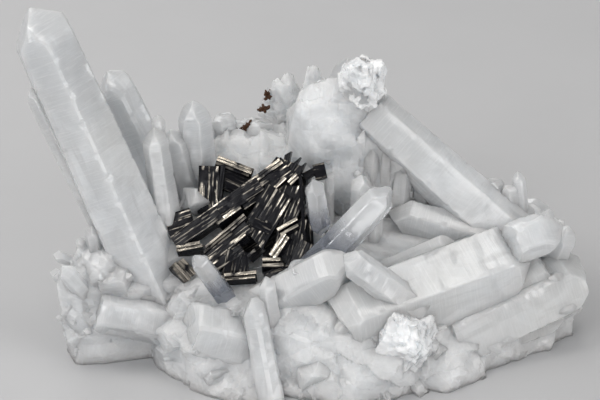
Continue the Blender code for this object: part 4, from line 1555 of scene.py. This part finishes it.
class MINERAL_OT_bed(bpy.types.Operator):
    """The massive quartz that the points grow from"""

    bl_idname = "mineral.bed"
    bl_label = "Quartz Bed"

    def execute(self, context):
        for lump in LUMPS:
            if lump.name in BURIED_LUMPS:
                continue
            if lump.name in FROSTED:
                patch = lump_patch(lump, 0.35, waves=SNOW, frost=1)
            else:
                patch = lump_patch(lump, 0.35)
            look = "milky_quartz" if lump.name in GLASSY else "massive_quartz"
            quartz_piece(f"bed_{lump.name}", patch, look, BED_CREASE)
        bed = mass_patch(bed_mass(), (1, 1, 1), 0.75, nowhere)
        quartz_piece("bed", bed, "massive_quartz", BED_CREASE)
        wall = mass_patch(wall_mass(), (0.8, 1, 1.8), 0.8, left_of_middle)
        quartz_piece("wall", wall, "massive_quartz", BED_CREASE)
        for lump in (SPARKLING_BLOCK, SPARKLING_PEAK):
            patch = lump_patch(lump, 0.28, 0.6, waves=CRUSHED)
            quartz_piece(lump.name, patch, "crushed_quartz", BED_CREASE)
        return {"FINISHED"}


class MINERAL_OT_points(bpy.types.Operator):
    """The milky points, one piece each"""

    bl_idname = "mineral.points"
    bl_label = "Quartz Points"

    def execute(self, context):
        look = context.scene.mineral_quartz
        for point in QUARTZ:
            patch = quartz_point_patch(point, look.edge * SOFT_EDGED.get(point.name, 1), look.growth)
            quartz_piece(point.name, patch)
        return {"FINISHED"}


class MINERAL_OT_far_points(bpy.types.Operator):
    """The small points on the side away from the front"""

    bl_idname = "mineral.far_points"
    bl_label = "Far Points"

    def execute(self, context):
        look = context.scene.mineral_quartz
        patch = joined([quartz_point_patch(p, look.edge, look.growth, 0.8) for p in far_points()])
        quartz_piece("far_points", patch)
        return {"FINISHED"}


class MINERAL_OT_druse(bpy.types.Operator):
    """The coat of small points on the bed"""

    bl_idname = "mineral.druse"
    bl_label = "Druse"

    def execute(self, context):
        look = context.scene.mineral_quartz
        patch = joined([quartz_point_patch(p, look.edge / 2, 0, 0.9) for p in druse_points()])
        quartz_piece("druse", patch)
        return {"FINISHED"}


class MINERAL_OT_clear_points(bpy.types.Operator):
    """The clear points round the black crystals"""

    bl_idname = "mineral.clear_points"
    bl_label = "Clear Points"

    def execute(self, context):
        look = context.scene.mineral_quartz
        for point in CLEAR:
            patch = quartz_point_patch(point, look.edge, look.growth)
            mesh_piece(f"{point.name}_skin", patch, "clear_quartz", [point.name])
        return {"FINISHED"}


class MINERAL_OT_sphalerite(bpy.types.Operator):
    """The black crystals, each a stack of growth layers"""

    bl_idname = "mineral.sphalerite"
    bl_label = "Sphalerite"

    def execute(self, context):
        look = context.scene.mineral_sphalerite
        chance = random.Random("layers")
        for name, blades in SPHALERITE.items():
            layers = [layer for blade in blades for layer in lamellae(blade, look.lamella, chance)]
            patch = joined([blade_patch(layer, look.groove) for layer in layers])
            mesh_piece(f"{name}_layers", patch, "sphalerite", [name])
        return {"FINISHED"}


class MINERAL_OT_specks(bpy.types.Operator):
    """The small black crystals on the back ridge"""

    bl_idname = "mineral.specks"
    bl_label = "Specks"

    def execute(self, context):
        for speck in SPECKS:
            patch = joined([quartz_point_patch(spike, 0.03, 0, 0.15) for spike in spikes(speck)])
            patch = patch._replace(tone=np.ones_like(patch.tone) * SPECK_TONE)
            mesh_piece(f"{speck.name}_crystal", patch, "sphalerite", [speck.name])
        return {"FINISHED"}


# the floor in metres, a hair below the part's foot; the place that the camera looks at, in the tables'
# millimetres; the camera's lens and sensor in millimetres, and how near it sees, in metres
FLOOR_SIZE = 4.0
FLOOR_GAP = 0.0001
TARGET = (0.0, -5.0, 31.0)
LENS = 120.0
SENSOR = 36.0
NEAREST = 0.01
# the light that comes from all round
SURROUND = (0.53, 0.53, 0.535, 1.0)
SURROUND_STRENGTH = 0.55
# soft boxes: name, place and size in metres, watts, colour
LIGHTS = (
    ("top_softbox", (0.0, 0.12, 0.75), (1.0, 0.7), 1.2, (1.0, 0.99, 0.97)),
    ("window", (0.10, 0.03, 0.72), (0.26, 0.22), 0.6, (1.0, 0.98, 0.95)),
    ("ridge_window", (-0.40, -0.06, 0.64), (0.3, 0.3), 1.3, (1.0, 0.98, 0.95)),
    ("nook_softbox", (-0.38, -0.48, 0.5), (0.3, 0.3), 1.4, (1.0, 1.0, 1.0)),
    ("back_softbox", (-0.25, 0.7, 0.45), (0.6, 0.3), 1.6, (1.0, 1.0, 1.0)),
    ("left_window", (-0.61, 0.0, 0.47), (0.3, 0.3), 0.6, (1.0, 1.0, 1.0)),
    ("left_softbox", (-0.65, -0.4, 0.3), (0.4, 0.5), 0.6, (0.98, 0.99, 1.0)),
    ("right_softbox", (0.65, -0.4, 0.3), (0.4, 0.5), 2.3, (1.0, 1.0, 1.0)),
    ("low_softbox", (0.0, -0.85, 0.12), (0.9, 0.3), 2.3, (1.0, 1.0, 1.0)),
)


def aimed(name, data, place, target):
    """An object at a place, turned to look at another."""
    obj = bpy.data.objects.new(name, data)
    obj.location = place
    obj.rotation_euler = (target - Vector(place)).to_track_quat("-Z", "Y").to_euler()
    bpy.context.scene.collection.objects.link(obj)
    return obj


class MINERAL_OT_stage(bpy.types.Operator):
    """Floor, soft light and camera"""

    bl_idname = "mineral.stage"
    bl_label = "Stage"

    def execute(self, context):
        scene = context.scene
        look = scene.mineral_stage
        bpy.ops.mesh.primitive_plane_add(size=FLOOR_SIZE)
        floor = context.object
        floor.name = "floor"
        floor.location.z = -FLOOR_GAP
        floor.data.materials.append(floor_material(look))

        target = Vector((TARGET[0] - MIDDLE[0], TARGET[1] - MIDDLE[1], TARGET[2])) * MM
        view = Vector((0, -math.cos(look.elevation), math.sin(look.elevation)))
        camera = bpy.data.cameras.new("camera")
        camera.lens = LENS
        camera.sensor_width = SENSOR
        camera.clip_start = NEAREST
        scene.camera = aimed("camera", camera, target + view * look.distance, target)

        for name, place, size, power, colour in LIGHTS:
            light = bpy.data.lights.new(name, "AREA")
            light.shape = "RECTANGLE"
            light.size, light.size_y = size
            light.energy = power
            light.color = colour
            aimed(name, light, place, target)
        world = bpy.data.worlds.new("soft surround")
        world.use_nodes = True
        surround = world.node_tree.nodes["Background"].inputs
        surround["Color"].default_value = SURROUND
        surround["Strength"].default_value = SURROUND_STRENGTH
        scene.world = world
        scene.view_settings.view_transform = "Standard"
        return {"FINISHED"}


class MINERAL_PT_panel(bpy.types.Panel):
    """Lists the builders and their settings"""

    bl_idname = "MINERAL_PT_panel"
    bl_label = "Sphalerite on Quartz"
    bl_space_type = "VIEW_3D"
    bl_region_type = "UI"
    bl_category = "Mineral"

    def draw(self, context):
        scene = context.scene
        for group in (scene.mineral_quartz, scene.mineral_sphalerite, scene.mineral_stage):
            for key in group.__annotations__:
                self.layout.prop(group, key)
        for operator in BUILDERS:
            self.layout.operator(operator.bl_idname)


BUILDERS = (
    MINERAL_OT_bed,
    MINERAL_OT_points,
    MINERAL_OT_far_points,
    MINERAL_OT_druse,
    MINERAL_OT_clear_points,
    MINERAL_OT_sphalerite,
    MINERAL_OT_specks,
    MINERAL_OT_stage,
)
SETTINGS = {
    "mineral_quartz": QuartzSettings,
    "mineral_sphalerite": SphaleriteSettings,
    "mineral_stage": StageSettings,
}


def register():
    """Add the settings, the builders and the panel."""
    for made in (*SETTINGS.values(), *BUILDERS, MINERAL_PT_panel):
        bpy.utils.register_class(made)
    for name, made in SETTINGS.items():
        setattr(bpy.types.Scene, name, bpy.props.PointerProperty(type=made))


def unregister():
    """Take them away again."""
    for name in SETTINGS:
        delattr(bpy.types.Scene, name)
    for made in (MINERAL_PT_panel, *reversed(BUILDERS), *reversed(SETTINGS.values())):
        bpy.utils.unregister_class(made)


def main():
    """Build everything in order."""
    register()
    bpy.ops.mineral.bed()
    bpy.ops.mineral.points()
    bpy.ops.mineral.far_points()
    bpy.ops.mineral.druse()
    bpy.ops.mineral.clear_points()
    bpy.ops.mineral.sphalerite()
    bpy.ops.mineral.specks()
    bpy.ops.mineral.stage()


if __name__ == "__main__":
    main()
